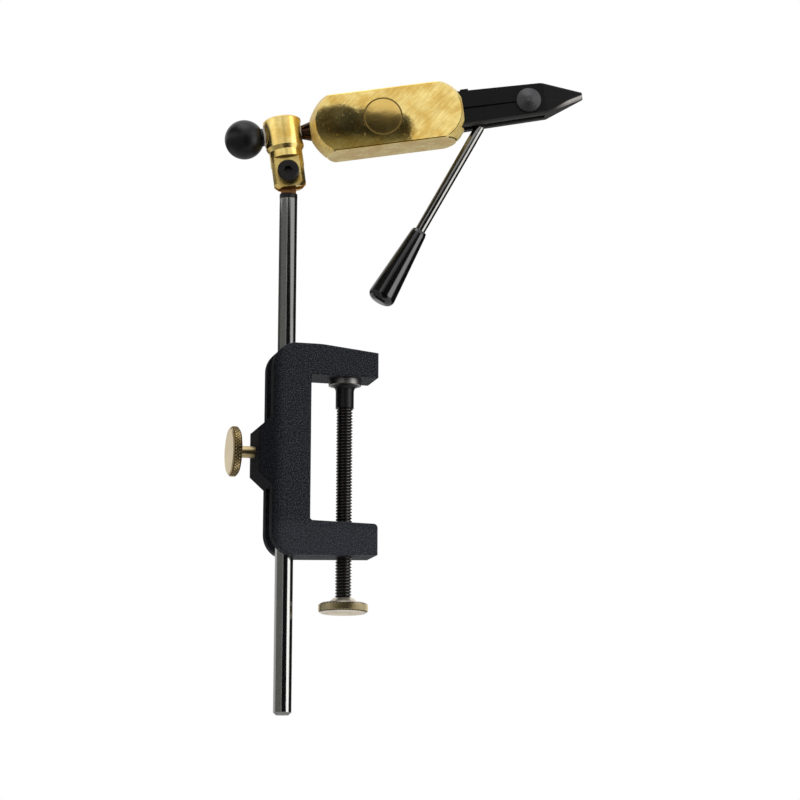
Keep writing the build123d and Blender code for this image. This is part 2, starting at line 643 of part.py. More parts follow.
# Head block: a rounded-edge bar whose two ends are turned about the spindle's axis
block_front = BLOCK_REAR + BLOCK_LENGTH
block_half = BLOCK_THICKNESS / 2
hinge_place = block_front - JAW_HINGE
spacer_dowel_place = block_front - SPACER_DOWEL_PLACE
dowel_radius = DOWEL_DIAMETER / 2
slot_half = JAW_OUTER + FREE_GAP
slot_half_height = JAW_HALF_ROOT + FREE_GAP
jaw_tail_end = block_front - JAW_TAIL
slot_end = jaw_tail_end - FREE_GAP
grub_place = BLOCK_REAR + GRUB_PLACE
disc_place = BLOCK_REAR + DISC_PLACE
with BuildPart() as head_block:
    with BuildSketch(Plane(origin=head_point(BLOCK_REAR, 0), x_dir=side, z_dir=forward)):
        RectangleRounded(BLOCK_THICKNESS, BLOCK_HEIGHT, BLOCK_EDGE_RADIUS)
    extrude(amount=BLOCK_LENGTH)
    with BuildSketch(HEAD) as turned_ends:
        with BuildLine():
            rear_rim = (BLOCK_REAR, NECK_HEAD_DIAMETER / 2)
            rear_top = (BLOCK_REAR + REAR_TURN_LENGTH, TURN_RADIUS)
            front_top = (block_front - FRONT_TURN_LENGTH, TURN_RADIUS)
            front_rim = (block_front, FRONT_END_RADIUS)
            ThreePointArc(rear_rim, (BLOCK_REAR + REAR_MID_LENGTH, REAR_MID_RADIUS), rear_top)
            Line(rear_top, front_top)
            ThreePointArc(front_top, (block_front - FRONT_MID_LENGTH, FRONT_MID_RADIUS), front_rim)
            Polyline(front_rim, (block_front, 0), (BLOCK_REAR, 0), rear_rim)
        make_face()
    revolve(axis=along(HEAD), mode=Mode.INTERSECT)
    slot_length = block_front - slot_end + OVERRUN
    with BuildSketch(HEAD):
        with Locations((slot_end + slot_length / 2, 0)):
            Rectangle(slot_length, 2 * slot_half_height)
    extrude(amount=slot_half, both=True, mode=Mode.SUBTRACT)
    with BuildSketch(Plane(origin=head_point(BLOCK_REAR, 0), x_dir=side, z_dir=forward)):
        Circle(SPINDLE_TENON_DIAMETER / 2 + RUNNING_FIT)
    extrude(amount=SPINDLE_TENON_LENGTH + SEAT_GAP, mode=Mode.SUBTRACT)
    jaw_middle = (JAW_OUTER + JAW_INNER) / 2
    with BuildSketch(Plane(origin=head_point(0, BLOCK_HEIGHT), x_dir=forward, z_dir=upward)):
        with Locations((hinge_place, jaw_middle), (hinge_place, -jaw_middle), (spacer_dowel_place, 0)):
            Circle(dowel_radius + RUNNING_FIT)
    extrude(amount=-BLOCK_HEIGHT - DOWEL_FOOT - SEAT_GAP, mode=Mode.SUBTRACT)
    with BuildSketch(Plane(origin=head_point(grub_place, 0), x_dir=forward, z_dir=upward)):
        Circle(GRUB_DIAMETER / 2 + RUNNING_FIT)
    extrude(amount=BLOCK_HEIGHT, mode=Mode.SUBTRACT)
    with BuildSketch(HEAD.offset(block_half - DISC_DEPTH)):
        with Locations((disc_place, 0)):
            Circle(DISC_DIAMETER / 2)
    extrude(amount=DISC_DEPTH + OVERRUN, mode=Mode.SUBTRACT)
finish(head_block, "head_block")

# Plain disc let into the block's near face
with BuildPart() as face_disc:
    with BuildSketch(HEAD.offset(block_half - DISC_DEPTH)):
        with Locations((disc_place, 0)):
            Circle(DISC_DIAMETER / 2 - DISC_GAP)
    extrude(amount=DISC_DEPTH)
finish(face_disc, "face_disc")

# Grub screw that holds the spindle's tenon in the block
grub_foot = SPINDLE_TENON_DIAMETER / 2 + SEAT_GAP
grub_length = BLOCK_HEIGHT / 2 - grub_foot - SEAT_GAP
with BuildPart() as spindle_grub:
    with BuildSketch(Plane(origin=head_point(grub_place, grub_foot), x_dir=forward, z_dir=upward)):
        Circle(GRUB_DIAMETER / 2)
    extrude(amount=grub_length)
    grub_head = head_point(grub_place, grub_foot + grub_length)
    with BuildSketch(Plane(origin=grub_head, x_dir=forward, z_dir=upward)):
        RegularPolygon(GRUB_SOCKET_ACROSS / 2, 6, major_radius=False)
    extrude(amount=-GRUB_DIAMETER / 2, mode=Mode.SUBTRACT)
finish(spindle_grub, "spindle_grub")

# Near jaw: tail in the block, pocket beside the lever, tapered nose that meets the other jaw
jaw_tip = block_front + JAW_REACH
anvil_place = block_front + ANVIL_PLACE
nose_start = block_front + JAW_NOSE_START
pocket_end = block_front + JAW_POCKET_END
nose_run = jaw_tip - nose_start
nose_fall = JAW_OUTER - JAW_TIP_OUTER
nose_cut_end = JAW_TIP_OUTER - OVERRUN * nose_fall / nose_run
nose_normal = (forward * nose_fall + side * nose_run).normalized()
with BuildPart() as near_jaw:
    with BuildSketch(HEAD.offset(JAW_MEET_GAP)):
        with BuildLine():
            Polyline(
                (jaw_tail_end, JAW_HALF_ROOT),
                (block_front, JAW_HALF_ROOT),
                (nose_start, JAW_HALF_FRONT),
                (jaw_tip, JAW_TIP_TOP),
                (jaw_tip, -JAW_TIP_FOOT),
                (nose_start, -JAW_FOOT_FRONT),
                (block_front, -JAW_FOOT_ROOT),
                (jaw_tail_end, -JAW_FOOT_ROOT),
                close=True,
            )
        make_face()
    extrude(amount=JAW_OUTER - JAW_MEET_GAP)
    pocket_length = pocket_end - jaw_tail_end + OVERRUN
    with BuildSketch(HEAD.offset(JAW_INNER)):
        with Locations((pocket_end - pocket_length / 2, 0)):
            Rectangle(pocket_length, 2 * JAW_HALF_ROOT + OVERRUN)
    extrude(amount=-JAW_INNER, mode=Mode.SUBTRACT)
    with BuildSketch(Plane(origin=head_point(0, -BLOCK_HEIGHT), x_dir=forward, z_dir=upward)):
        with BuildLine():
            Polyline(
                (nose_start, -JAW_OUTER),
                (jaw_tip + OVERRUN, -nose_cut_end),
                (jaw_tip + OVERRUN, -JAW_OUTER - OVERRUN),
                (nose_start, -JAW_OUTER - OVERRUN),
                close=True,
            )
        make_face()
    extrude(amount=2 * BLOCK_HEIGHT, mode=Mode.SUBTRACT)
    nose_face = faces().sort_by(lambda face: face.normal_at().dot(nose_normal))[-1]
    rims = nose_face.edges()
    rims = rims.filter_by(lambda rim: abs(HEAD.to_local_coords(rim.center()).Y) > JAW_TIP_TOP)
    chamfer(rims, JAW_BEVEL)
    foot_way = forward * (nose_start - block_front) + upward * (JAW_FOOT_ROOT - JAW_FOOT_FRONT)
    bevel_width = 2 * JAW_FOOT_BEVEL * cos(radians(BEVEL_ANGLE))
    bevel_start = head_point(nose_start, -JAW_FOOT_FRONT, JAW_OUTER)
    with BuildSketch(Plane(origin=bevel_start, x_dir=side, z_dir=-foot_way)):
        Rectangle(bevel_width, bevel_width, rotation=BEVEL_ANGLE)
    extrude(amount=JAW_NOSE_START - JAW_FOOT_BEVEL_PLACE, mode=Mode.SUBTRACT)
    with BuildSketch(HEAD.offset(JAW_OUTER)):
        with BuildLine():
            Polyline(
                (block_front - JAW_HINGE / 2, SLIT_START_WIDTH / 2),
                (block_front + SLIT_END, SLIT_END_WIDTH / 2),
                (block_front + SLIT_END, -SLIT_END_WIDTH / 2),
                (block_front - JAW_HINGE / 2, -SLIT_START_WIDTH / 2),
                close=True,
            )
        make_face()
    extrude(amount=-SLIT_DEPTH, mode=Mode.SUBTRACT)
    with BuildSketch(HEAD):
        with Locations((anvil_place, 0)):
            Circle(ANVIL_PLUG_DIAMETER / 2 + RUNNING_FIT)
    extrude(amount=JAW_OUTER + OVERRUN, mode=Mode.SUBTRACT)
    with BuildSketch(Plane(origin=head_point(0, -BLOCK_HEIGHT), x_dir=forward, z_dir=upward)):
        with Locations((hinge_place, -jaw_middle)):
            Circle(dowel_radius + RUNNING_FIT)
    extrude(amount=2 * BLOCK_HEIGHT, mode=Mode.SUBTRACT)
finish(near_jaw, "near_jaw")

# Far jaw: the near jaw mirrored in the head's middle plane
with BuildPart() as far_jaw:
    mirror(near_jaw.part, about=HEAD)
finish(far_jaw, "far_jaw")

# Jaw dowels: two hinge pins for the jaws and one that holds the spacer
dowel_length = DOWEL_FOOT + BLOCK_HEIGHT / 2 - SEAT_GAP
with BuildPart() as jaw_dowels:
    with BuildSketch(Plane(origin=head_point(0, -DOWEL_FOOT), x_dir=forward, z_dir=upward)):
        with Locations((hinge_place, jaw_middle), (hinge_place, -jaw_middle), (spacer_dowel_place, 0)):
            Circle(dowel_radius)
    extrude(amount=dowel_length)
finish(jaw_dowels, "jaw_dowels")

# Anvil buttons: ringed heads on the jaws' outer faces, with pointed plugs that the wedge spreads
anvil_tip = CAM_HALF + ANVIL_TIP_GAP
anvil_seat = JAW_OUTER + RUNNING_FIT
ANVIL = Plane(origin=head_point(anvil_place, 0), x_dir=side, z_dir=forward)
ring_profile = [(anvil_seat + ANVIL_RIM_HEIGHT, ANVIL_DIAMETER / 2)]
for ring in range(1, ANVIL_RING_COUNT):
    ring_radius = ANVIL_DIAMETER / 2 - ring * ANVIL_RING_STEP
    ring_foot = anvil_seat + ANVIL_RIM_HEIGHT + (ring - 1) * ANVIL_RING_HEIGHT
    ring_profile.append((ring_foot + ANVIL_RING_HEIGHT * ANVIL_SLOPE_SHARE, ring_radius))
    ring_profile.append((ring_foot + ANVIL_RING_HEIGHT, ring_radius))
crown = ring_profile[-1][0]
with BuildPart() as near_anvil:
    revolve(
        turned(
            ANVIL,
            (anvil_tip, 0),
            (anvil_tip, ANVIL_TIP_DIAMETER / 2),
            (JAW_INNER, ANVIL_PLUG_DIAMETER / 2),
            (anvil_seat, ANVIL_PLUG_DIAMETER / 2),
            (anvil_seat, ANVIL_DIAMETER / 2),
            *ring_profile,
            (crown, 0),
        ),
        axis=along(ANVIL),
    )
finish(near_anvil, "near_anvil")

with BuildPart() as far_anvil:
    mirror(near_anvil.part, about=HEAD)
finish(far_anvil, "far_anvil")

# Jaw spacer: plate between the jaws' tails, with a forked ear for the lever's pivot
lever_place = block_front + PIVOT_PLACE
tab_start = block_front + SPACER_TAB_PLACE
with BuildPart() as jaw_spacer:
    with BuildSketch(HEAD):
        with BuildLine():
            Polyline(
                (jaw_tail_end, SPACER_HALF_HEIGHT),
                (tab_start, SPACER_HALF_HEIGHT),
                (tab_start, SPACER_TAB_TOP),
                (tab_start + SPACER_TAB_LENGTH, SPACER_TAB_TOP),
                (tab_start + SPACER_TAB_LENGTH, SPACER_ARM_TOP),
                (lever_place, EAR_RADIUS - PIVOT_DROP),
                (lever_place, -PIVOT_DROP),
                (block_front, SPACER_ARM_FOOT),
                (block_front, -SPACER_HALF_HEIGHT),
                (jaw_tail_end, -SPACER_HALF_HEIGHT),
                close=True,
            )
        make_face()
        with Locations((lever_place, -PIVOT_DROP)):
            Circle(EAR_RADIUS)
            Circle(LEVER_PIN_DIAMETER / 2 + RUNNING_FIT, mode=Mode.SUBTRACT)
    extrude(amount=SPACER_HALF, both=True)
    ear_slot = EAR_SLOT_LENGTH + EAR_RADIUS + OVERRUN
    with BuildSketch(HEAD):
        with Locations((lever_place - EAR_SLOT_LENGTH + ear_slot / 2, 0)):
            Rectangle(ear_slot, BLOCK_HEIGHT)
    extrude(amount=EAR_SLOT_HALF, both=True, mode=Mode.SUBTRACT)
    with BuildSketch(Plane(origin=head_point(0, -BLOCK_HEIGHT), x_dir=forward, z_dir=upward)):
        with Locations((spacer_dowel_place, 0)):
            Circle(dowel_radius + RUNNING_FIT)
    extrude(amount=2 * BLOCK_HEIGHT, mode=Mode.SUBTRACT)
finish(jaw_spacer, "jaw_spacer")

# Lever pin: pivot of the lever, held in the spacer's ears
with BuildPart() as lever_pin:
    with BuildSketch(HEAD):
        with Locations((lever_place, -PIVOT_DROP)):
            Circle(LEVER_PIN_DIAMETER / 2)
    extrude(amount=SPACER_HALF, both=True)
finish(lever_pin, "lever_pin")

# Lever cam: eye on the pin, an arm to a wedge nose between the anvils, and a tang for the rod
lean = radians(LEVER_LEAN)
rod_way = (-sin(lean), -cos(lean))
rod_along = forward * rod_way[0] + upward * rod_way[1]
ROD = Plane(origin=head_point(lever_place, -PIVOT_DROP), x_dir=rod_along, z_dir=side)
tang_end = ROD_TOP + ROD_SLOT_DEPTH
nose_rear = anvil_place - CAM_NOSE_LENGTH / 2
nose_front = anvil_place + CAM_NOSE_LENGTH / 2
with BuildPart() as lever_cam:
    with BuildSketch(HEAD):
        with Locations((lever_place, -PIVOT_DROP)):
            Circle(CAM_EYE_RADIUS)
        with BuildLine():
            Polyline(
                (lever_place, CAM_EYE_RADIUS - PIVOT_DROP),
                (nose_rear, CAM_ARM_TOP),
                (nose_front, CAM_NOSE_TOP),
                (nose_front, CAM_NOSE_FOOT),
                (nose_rear, CAM_ARM_FOOT),
                (lever_place, -CAM_EYE_RADIUS - PIVOT_DROP),
                close=True,
            )
        make_face()
    with BuildSketch(ROD):
        with Locations((tang_end / 2, 0)):
            Rectangle(tang_end, TANG_WIDTH)
    extrude(amount=CAM_HALF, both=True)
    wedge_top = CAM_HALF + CAM_NOSE_TOP * CAM_WEDGE_SLOPE_SHARE
    with BuildSketch(Plane(origin=head_point(nose_rear, 0), x_dir=side, z_dir=forward)):
        with BuildLine():
            Polyline(
                (-wedge_top, -CAM_NOSE_TOP),
                (wedge_top, -CAM_NOSE_TOP),
                (CAM_HALF, 0),
                (CAM_HALF, -CAM_NOSE_FOOT),
                (-CAM_HALF, -CAM_NOSE_FOOT),
                (-CAM_HALF, 0),
                close=True,
            )
        make_face()
    extrude(amount=CAM_NOSE_LENGTH)
    with BuildSketch(HEAD):
        with Locations((lever_place, -PIVOT_DROP)):
            Circle(LEVER_PIN_DIAMETER / 2 + RUNNING_FIT)
    extrude(amount=SPACER_HALF, both=True, mode=Mode.SUBTRACT)
    with BuildSketch(ROD):
        with Locations((ROD_TOP + ROD_SLOT_DEPTH / 2, 0)):
            Circle(RIVET_DIAMETER / 2 + RUNNING_FIT)
    extrude(amount=SPACER_HALF, both=True, mode=Mode.SUBTRACT)
finish(lever_cam, "lever_cam")

# Lever rod: slotted over the cam's tang at the top, pressed into the grip below
rod_end = GRIP_TOP + GRIP_SOCKET_DEPTH - SEAT_GAP
rod_radius = ROD_DIAMETER / 2
with BuildPart() as lever_rod:
    revolve(
        turned(ROD, (ROD_TOP, 0), (ROD_TOP, rod_radius), (rod_end, rod_radius), (rod_end, 0)),
        axis=along(ROD),
    )
    with BuildSketch(ROD):
        with Locations((tang_end / 2, 0)):
            Rectangle(tang_end + 2 * SEAT_GAP, ROD_DIAMETER + OVERRUN)
    extrude(amount=CAM_HALF + RUNNING_FIT, both=True, mode=Mode.SUBTRACT)
    with BuildSketch(ROD):
        with Locations((ROD_TOP + ROD_SLOT_DEPTH / 2, 0)):
            Circle(RIVET_DIAMETER / 2 + RUNNING_FIT)
    extrude(amount=ROD_DIAMETER, both=True, mode=Mode.SUBTRACT)
finish(lever_rod, "lever_rod")

# Rivet through the rod's slotted end and the tang
with BuildPart() as rod_rivet:
    with BuildSketch(ROD):
        with Locations((ROD_TOP + ROD_SLOT_DEPTH / 2, 0)):
            Circle(RIVET_DIAMETER / 2)
    extrude(amount=rod_radius - SEAT_GAP, both=True)
finish(rod_rivet, "rod_rivet")

# Lever grip: tapered, swelling to a rounded end
grip_end = GRIP_TOP + GRIP_LENGTH
grip_bore = rod_radius + RUNNING_FIT
grip_foot_radius = GRIP_FOOT_DIAMETER / 2
with BuildPart() as lever_grip:
    with BuildSketch(ROD):
        with BuildLine():
            lip = (GRIP_TOP + GRIP_LIP, GRIP_TOP_DIAMETER / 2)
            swell = (grip_end - GRIP_END_RADIUS, grip_foot_radius)
            dome = (grip_end, grip_foot_radius - GRIP_END_RADIUS)
            Line(lip, swell)
            RadiusArc(swell, dome, GRIP_END_RADIUS)
            Polyline(
                dome,
                (grip_end, 0),
                (GRIP_TOP + GRIP_SOCKET_DEPTH, 0),
                (GRIP_TOP + GRIP_SOCKET_DEPTH, grip_bore),
                (GRIP_TOP, grip_bore),
                (GRIP_TOP, GRIP_TOP_DIAMETER / 2 - GRIP_LIP_BEVEL),
                lip,
            )
        make_face()
    revolve(axis=along(ROD))
finish(lever_grip, "lever_grip")
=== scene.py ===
# %% [markdown]
# A fly tying vise, dressed for its picture
#
# The vise comes in as a finished CAD frame: a C-clamp, a post, a tilting head and two jaws.
# This lesson adds what a CAD model leaves out, which is the cut threads, the knurls and the
# finishes, and then sets up the light and the camera. Every piece stays in metres, in the
# frame of the CAD model, so that nothing has to be fitted by eye.

# %% Load the frame
import json
from math import cos, pi, radians, sin

import bmesh
import bpy
from mathutils import Matrix, Vector


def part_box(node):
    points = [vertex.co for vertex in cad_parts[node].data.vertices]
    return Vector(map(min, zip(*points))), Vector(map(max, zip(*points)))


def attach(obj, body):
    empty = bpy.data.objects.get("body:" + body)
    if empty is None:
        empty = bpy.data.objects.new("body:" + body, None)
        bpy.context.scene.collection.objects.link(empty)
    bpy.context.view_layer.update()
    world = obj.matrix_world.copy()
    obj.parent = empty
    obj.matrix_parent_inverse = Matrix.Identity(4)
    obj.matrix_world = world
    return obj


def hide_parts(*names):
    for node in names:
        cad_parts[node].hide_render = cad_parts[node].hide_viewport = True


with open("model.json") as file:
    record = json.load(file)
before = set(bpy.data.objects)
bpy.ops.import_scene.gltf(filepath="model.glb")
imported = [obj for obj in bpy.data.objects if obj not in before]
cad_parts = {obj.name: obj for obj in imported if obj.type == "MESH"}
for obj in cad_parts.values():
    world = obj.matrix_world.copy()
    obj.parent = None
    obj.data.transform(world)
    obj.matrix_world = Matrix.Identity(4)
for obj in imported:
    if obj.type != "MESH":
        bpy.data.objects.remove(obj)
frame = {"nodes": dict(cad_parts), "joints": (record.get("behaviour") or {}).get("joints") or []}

MM = 0.001
ORIGIN = Vector((0, 0, 0))
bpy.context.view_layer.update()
nodes = frame["nodes"]
scene = bpy.context.scene

# %% [markdown]
# Directions of the head
#
# The head of a vise leans and swivels, so its own directions matter more than the world's.
# They could be typed in again, but the joints already hold them: the head turns about its
# spindle, and it tilts about the cross screw. Reading them keeps the two files in step.

# %% Read the head's directions from the joints
joints = {joint["name"]: joint for joint in frame["joints"]}
HEAD_ORIGIN = Vector(joints["head_rotation"]["pos_m"])
FORWARD = Vector(joints["head_rotation"]["axis"])
NEAR_SIDE = Vector(joints["head_tilt"]["axis"])
UPWARD = NEAR_SIDE.cross(FORWARD)
HEAD_WAYS = (FORWARD, UPWARD, NEAR_SIDE)
PIVOT = Vector(joints["head_tilt"]["pos_m"])
POST_CENTRE = Vector((PIVOT.x, 0, 0))
LEVER_PIVOT = Vector(joints["lever_squeeze"]["pos_m"])
SCREW_AXIS = Vector((0, 0, 1))


def head_point(reach, lift, out=0):
    """A point of the head in world metres, from millimetres along, up and out to the near side."""
    return HEAD_ORIGIN + (FORWARD * reach + UPWARD * lift + NEAR_SIDE * out) * MM


def rounded(values, digits=3):
    return [round(value, digits) for value in values]


print("forward", rounded(FORWARD), "up", rounded(UPWARD))

# %% [markdown]
# Shader sums as plain Python
#
# A finish is mostly arithmetic on noise: a bit of this grain times that mask. Wiring each
# step by hand hides the sum, so one small class wraps a socket and lets Python's operators
# add the Math nodes. Everything that isn't a sum comes from its one method, node.

# %% A socket that takes part in sums
class Wire:
    """An output socket of a shader node, with the operators that the finishes use."""

    def __init__(self, tree, socket=None):
        self.tree = tree
        self.socket = socket

    def node(self, kind, settings=None, sockets=None, out=0):
        """Adds a node: its settings first, then the values or links of its sockets."""
        made = self.tree.nodes.new("ShaderNode" + kind)
        for name, value in (settings or {}).items():
            setattr(made, name, value)
        for name, value in (sockets or {}).items():
            if isinstance(value, Wire):
                self.tree.links.new(value.socket, made.inputs[name])
            else:
                made.inputs[name].default_value = value
        return Wire(self.tree, made.outputs[out])

    def sum_of(self, operation, first, second):
        return self.node("Math", {"operation": operation}, {0: first, 1: second})

    def __add__(self, other):
        return self.sum_of("ADD", self, other)

    def __radd__(self, other):
        return self.sum_of("ADD", other, self)

    def __sub__(self, other):
        return self.sum_of("SUBTRACT", self, other)

    def __rsub__(self, other):
        return self.sum_of("SUBTRACT", other, self)

    def __mul__(self, other):
        return self.sum_of("MULTIPLY", self, other)

    def __rmul__(self, other):
        return self.sum_of("MULTIPLY", other, self)

    def __truediv__(self, other):
        return self.sum_of("DIVIDE", self, other)

    def __rtruediv__(self, other):
        return self.sum_of("DIVIDE", other, self)

    def __abs__(self):
        return self.node("Math", {"operation": "ABSOLUTE"}, {0: self})


print("a Wire stands for one output socket")

# %% [markdown]
# Masks and colours
#
# A mask says where one finish ends and the next begins, and it should never end in a hard
# step, because a real edge never does. Colours are picked as they read on a screen, but
# shaders count light, so each one is turned into linear light once, in Python.

# %% Masks and colours
def rise(wire, low, high):
    """0 below low, 1 above high, and a smooth climb between."""
    settings = {"interpolation_type": "SMOOTHSTEP"}
    return wire.node("MapRange", settings, {"Value": wire, "From Min": low, "From Max": high})


def fall(wire, low, high):
    """1 below low, 0 above high, and a smooth drop between."""
    return 1 - rise(wire, low, high)


def colour(red, green, blue):
    """A colour as it reads on a screen, 0 to 255, in the linear light that shaders work in."""
    def linear(level):
        share = level / 255
        return share / 12.92 if share <= 0.04045 else ((share + 0.055) / 1.055) ** 2.4
    return (linear(red), linear(green), linear(blue), 1)


def blend(factor, first, second):
    """A mix of two colours, each a screen colour or a wire."""
    first, second = (ink if isinstance(ink, Wire) else colour(*ink) for ink in (first, second))
    settings = {"data_type": "RGBA", "blend_type": "MIX"}
    return factor.node("Mix", settings, {0: factor, 6: first, 7: second}, out=2)


print("screen grey 128 is", round(colour(128, 128, 128)[0], 3), "in linear light")

# %% [markdown]
# Places on a surface
#
# Grain has to stay on its piece when a joint moves, so every pattern reads the object's own
# coordinates. A turned part wants the distance along its axis and out from it, and a milled
# part wants distances along its own edges. Dot and cross products give them in millimetres.

# %% Distances on a piece
def spot(start):
    """The place on the piece, in its own coordinates."""
    return start.node("TexCoord", out="Object")


def vectors(start, operation, first, second, out=0):
    return start.node("VectorMath", {"operation": operation}, {0: first, 1: second}, out)


def along(start, origin, direction):
    """Millimetres from a point along a direction."""
    offset = vectors(start, "SUBTRACT", spot(start), origin)
    return vectors(start, "DOT_PRODUCT", offset, direction, "Value") / MM


def outward(start, origin, direction):
    """Millimetres out from an axis."""
    offset = vectors(start, "SUBTRACT", spot(start), origin)
    across = vectors(start, "CROSS_PRODUCT", offset, direction)
    return start.node("VectorMath", {"operation": "LENGTH"}, {0: across}, "Value") / MM


def trio(start, first, second, third):
    """A vector from three distances."""
    return start.node("CombineXYZ", None, {0: first, 1: second, 2: third})


print("distances are in steps of", MM, "m")

# %% [markdown]
# Grain and tool marks
#
# No worked surface is even. Two kinds of noise cover every piece here: soft blotches, and
# noise that changes along one distance only, which is what a lathe or a drawing die leaves.
# Both take their size in millimetres, so that they can be compared with the real marks.

# %% Noise for grain and marks
def grain(start, size, detail=2, roughness=0.5, where=None):
    """Soft noise whose blotches are about size millimetres across."""
    place = where or spot(start)
    scale = 1 / (size * MM) if where is None else 1 / size
    sockets = {"Vector": place, "Scale": scale, "Detail": detail, "Roughness": roughness}
    return start.node("TexNoise", {"noise_dimensions": "3D"}, sockets)


def lines(start, distance, size, detail=3):
    """Noise that changes along one distance only, for tool marks."""
    sockets = {"W": distance, "Scale": 1 / size, "Detail": detail, "Roughness": 0.6}
    return start.node("TexNoise", {"noise_dimensions": "1D"}, sockets)


print("two kinds of noise: grain and lines")

# %% [markdown]
# A finish and where it goes
#
# Each finish is one Principled shader. Setting its sockets by name keeps a finish readable
# as a short list, and a bump given as a depth in millimetres can be checked against the
# real surface. The CAD pieces keep their meshes, and only their material slots change.

# %% Make, set and apply a finish
def new_finish(name):
    """A material with its Principled shader, and a wire to start its sums from."""
    material = bpy.data.materials.new(name)
    material.use_nodes = True
    return material, Wire(material.node_tree)


def dress(material, height=None, depth=0.05, strength=1.0, **values):
    """Sets Principled sockets, by names with _ for a space, and a bump of depth millimetres."""
    tree = material.node_tree
    shader = tree.nodes["Principled BSDF"]
    for name, value in values.items():
        socket = shader.inputs[name.replace("_", " ")]
        if isinstance(value, Wire):
            tree.links.new(value.socket, socket)
        else:
            socket.default_value = value
    if height is not None:
        sockets = {"Height": height, "Distance": depth * MM, "Strength": strength}
        bump = height.node("Bump", None, sockets)
        tree.links.new(bump.socket, shader.inputs["Normal"])
    return material


def paint(material, *names):
    """Puts a finish on CAD nodes."""
    for name in names:
        for slot in nodes[name].material_slots:
            slot.material = material
    print(material.name, "on", ", ".join(names))


def middle_of(name):
    return sum((Vector(corner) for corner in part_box(name)), Vector()) / 2


print("block middle", rounded(middle_of("head_block")))

# %% [markdown]
# The clamp's wrinkle coat
#
# The C-frame is a casting under a dark textured powder coat. From a step away it looks flat
# and slightly blue, and close up it is a field of tiny pebbles that catch the light. Cells
# about a millimetre apart give the pebbles, and a finer noise breaks them up. The channel at
# the rear gets little light and the lower arm gets more, so two masks along the frame paint
# shade on the one and light on the other: the rear is painted darker and the lower arm
# painted lighter. Lamps could do it, but they would touch every piece.

# %% Wrinkle coat
PEBBLES_PER_METRE = 1150
REAR_DARK, REAR_CLEAR = 7, 15
ARM_LIGHT, ARM_CLEAR = -82, -74
coat, start = new_finish("wrinkle_coat")
sockets = {"Vector": spot(start), "Scale": PEBBLES_PER_METRE, "Smoothness": 0.6}
cells = start.node("TexVoronoi", {"feature": "SMOOTH_F1"}, sockets)
broad = grain(start, 14, 3)
rear = Vector((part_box("clamp_frame")[0].x, 0, 0))
# Painted shade: the coat is painted darker towards the rear channel and the boss.
shade = fall(along(start, rear, Vector((1, 0, 0))), REAR_DARK, REAR_CLEAR)
# Painted light: the coat is painted lighter down the lower arm.
dust_and_painted_light = fall(along(start, rear, SCREW_AXIS), ARM_LIGHT, ARM_CLEAR)
body = blend(broad, (8, 8, 10), (15, 16, 19))
# The painted light lifts the lower arm towards grey, and the painted shade takes the rear towards
# black.
body = blend(shade * 0.8, blend(dust_and_painted_light * 0.3, body, (56, 58, 64)), (4, 4, 5))
speck = rise(grain(start, 0.6, 2, 0.8), 0.48, 0.62) * (1 - shade * 0.7)
dress(
    coat, height=(1 - cells) * 0.7 + grain(start, 0.5, 3, 0.6) * 0.5, depth=0.22, strength=0.8,
    Base_Color=blend(speck * 0.6, body, (92, 95, 107)),
    Roughness=0.62 - speck * 0.2 + broad * 0.08 + shade * 0.3,
    Specular_IOR_Level=0.13,
)
paint(coat, "clamp_frame")

# %% [markdown]
# Polished gold on the head
#
# The knuckle and the block are brass, polished and lacquered. One recipe serves both: a warm
# tone that drifts, a few dark flecks, and tool marks that are darker where they are worn.
# What differs is the marks, how much the reflections blur, and how metallic the surface is.

# %% The recipe for gold
def gold(material, start, marks, waves, blur, wear, metal=1.0):
    """Lacquered brass with given tool marks, waviness, blur of its reflections and wear."""
    tone = grain(start, 9, 4, 0.6)
    fleck = rise(grain(start, 1.1, 3, 0.7), 0.62, 0.78)
    scratch = rise(marks, 0.42, 0.62)
    warm = blend(rise(tone, 0.3, 0.7), (222, 184, 96), (250, 226, 146))
    worn = blend(scratch * wear, warm, (150, 116, 56))
    return dress(
        material, height=marks * 0.03 + waves, depth=0.05, strength=0.55,
        Base_Color=blend(fleck * 0.3, worn, (132, 96, 40)),
        Metallic=metal,
        Roughness=blur + marks * blur + fleck * 0.05,
    )


print("gold takes marks, waves, blur, wear and metal")

# %% [markdown]
# The block and the knuckle
#
# The block's flats were ground on a belt, which leaves slanting strokes, a slight waviness
# that breaks up whatever they reflect, and a few pits. Its ends were turned and only brushed,
# so a mask that leaves out the flats makes them satin and less mirror-like. The knuckle is
# turned as well, so its marks run round it, and a wider blur keeps its reflections soft.

# %% Gold, ground flat and turned
STROKE_SLANT = radians(38)
FLAT_OUT, FLAT_LIFT, FLAT_EDGE = 10.8, 15.4, 0.3
ground, start = new_finish("gold_ground")
reach, height, out = (along(start, HEAD_ORIGIN, way) for way in HEAD_WAYS)
stroke = reach * cos(STROKE_SLANT) + height * sin(STROKE_SLANT)
across = height * cos(STROKE_SLANT) - reach * sin(STROKE_SLANT)
strokes = grain(start, 1, 4, 0.65, trio(start, stroke * 0.12, across * 1.1, out * 0.4))
pits = rise(grain(start, 0.9, 3, 0.7), 0.66, 0.76)
waves = grain(start, 5.5, 2, 0.5) * 0.3 - pits * 0.3
turned = fall(abs(out), FLAT_OUT - FLAT_EDGE, FLAT_OUT)
turned = turned * fall(abs(height), FLAT_LIFT - FLAT_EDGE, FLAT_LIFT)
gold(ground, start, strokes, waves, 0.03 + turned * 0.24, 0.24, 1 - turned * 0.75)
paint(ground, "head_block")

ringed, start = new_finish("gold_turned")
rings = lines(start, along(start, HEAD_ORIGIN, UPWARD), 0.35)
gold(ringed, start, rings, grain(start, 6, 2) * 0.25, 0.17, 0.1)
paint(ringed, "knuckle")

# %% [markdown]
# The disc in the block's face
#
# A plain disc is let into the block, flush with its face. It would vanish there if nothing
# marked its rim, so a dark line stands for the joint, where polish and dirt collect. A
# groove in the mesh would do too, but it is thinner than a hair and only its colour shows.

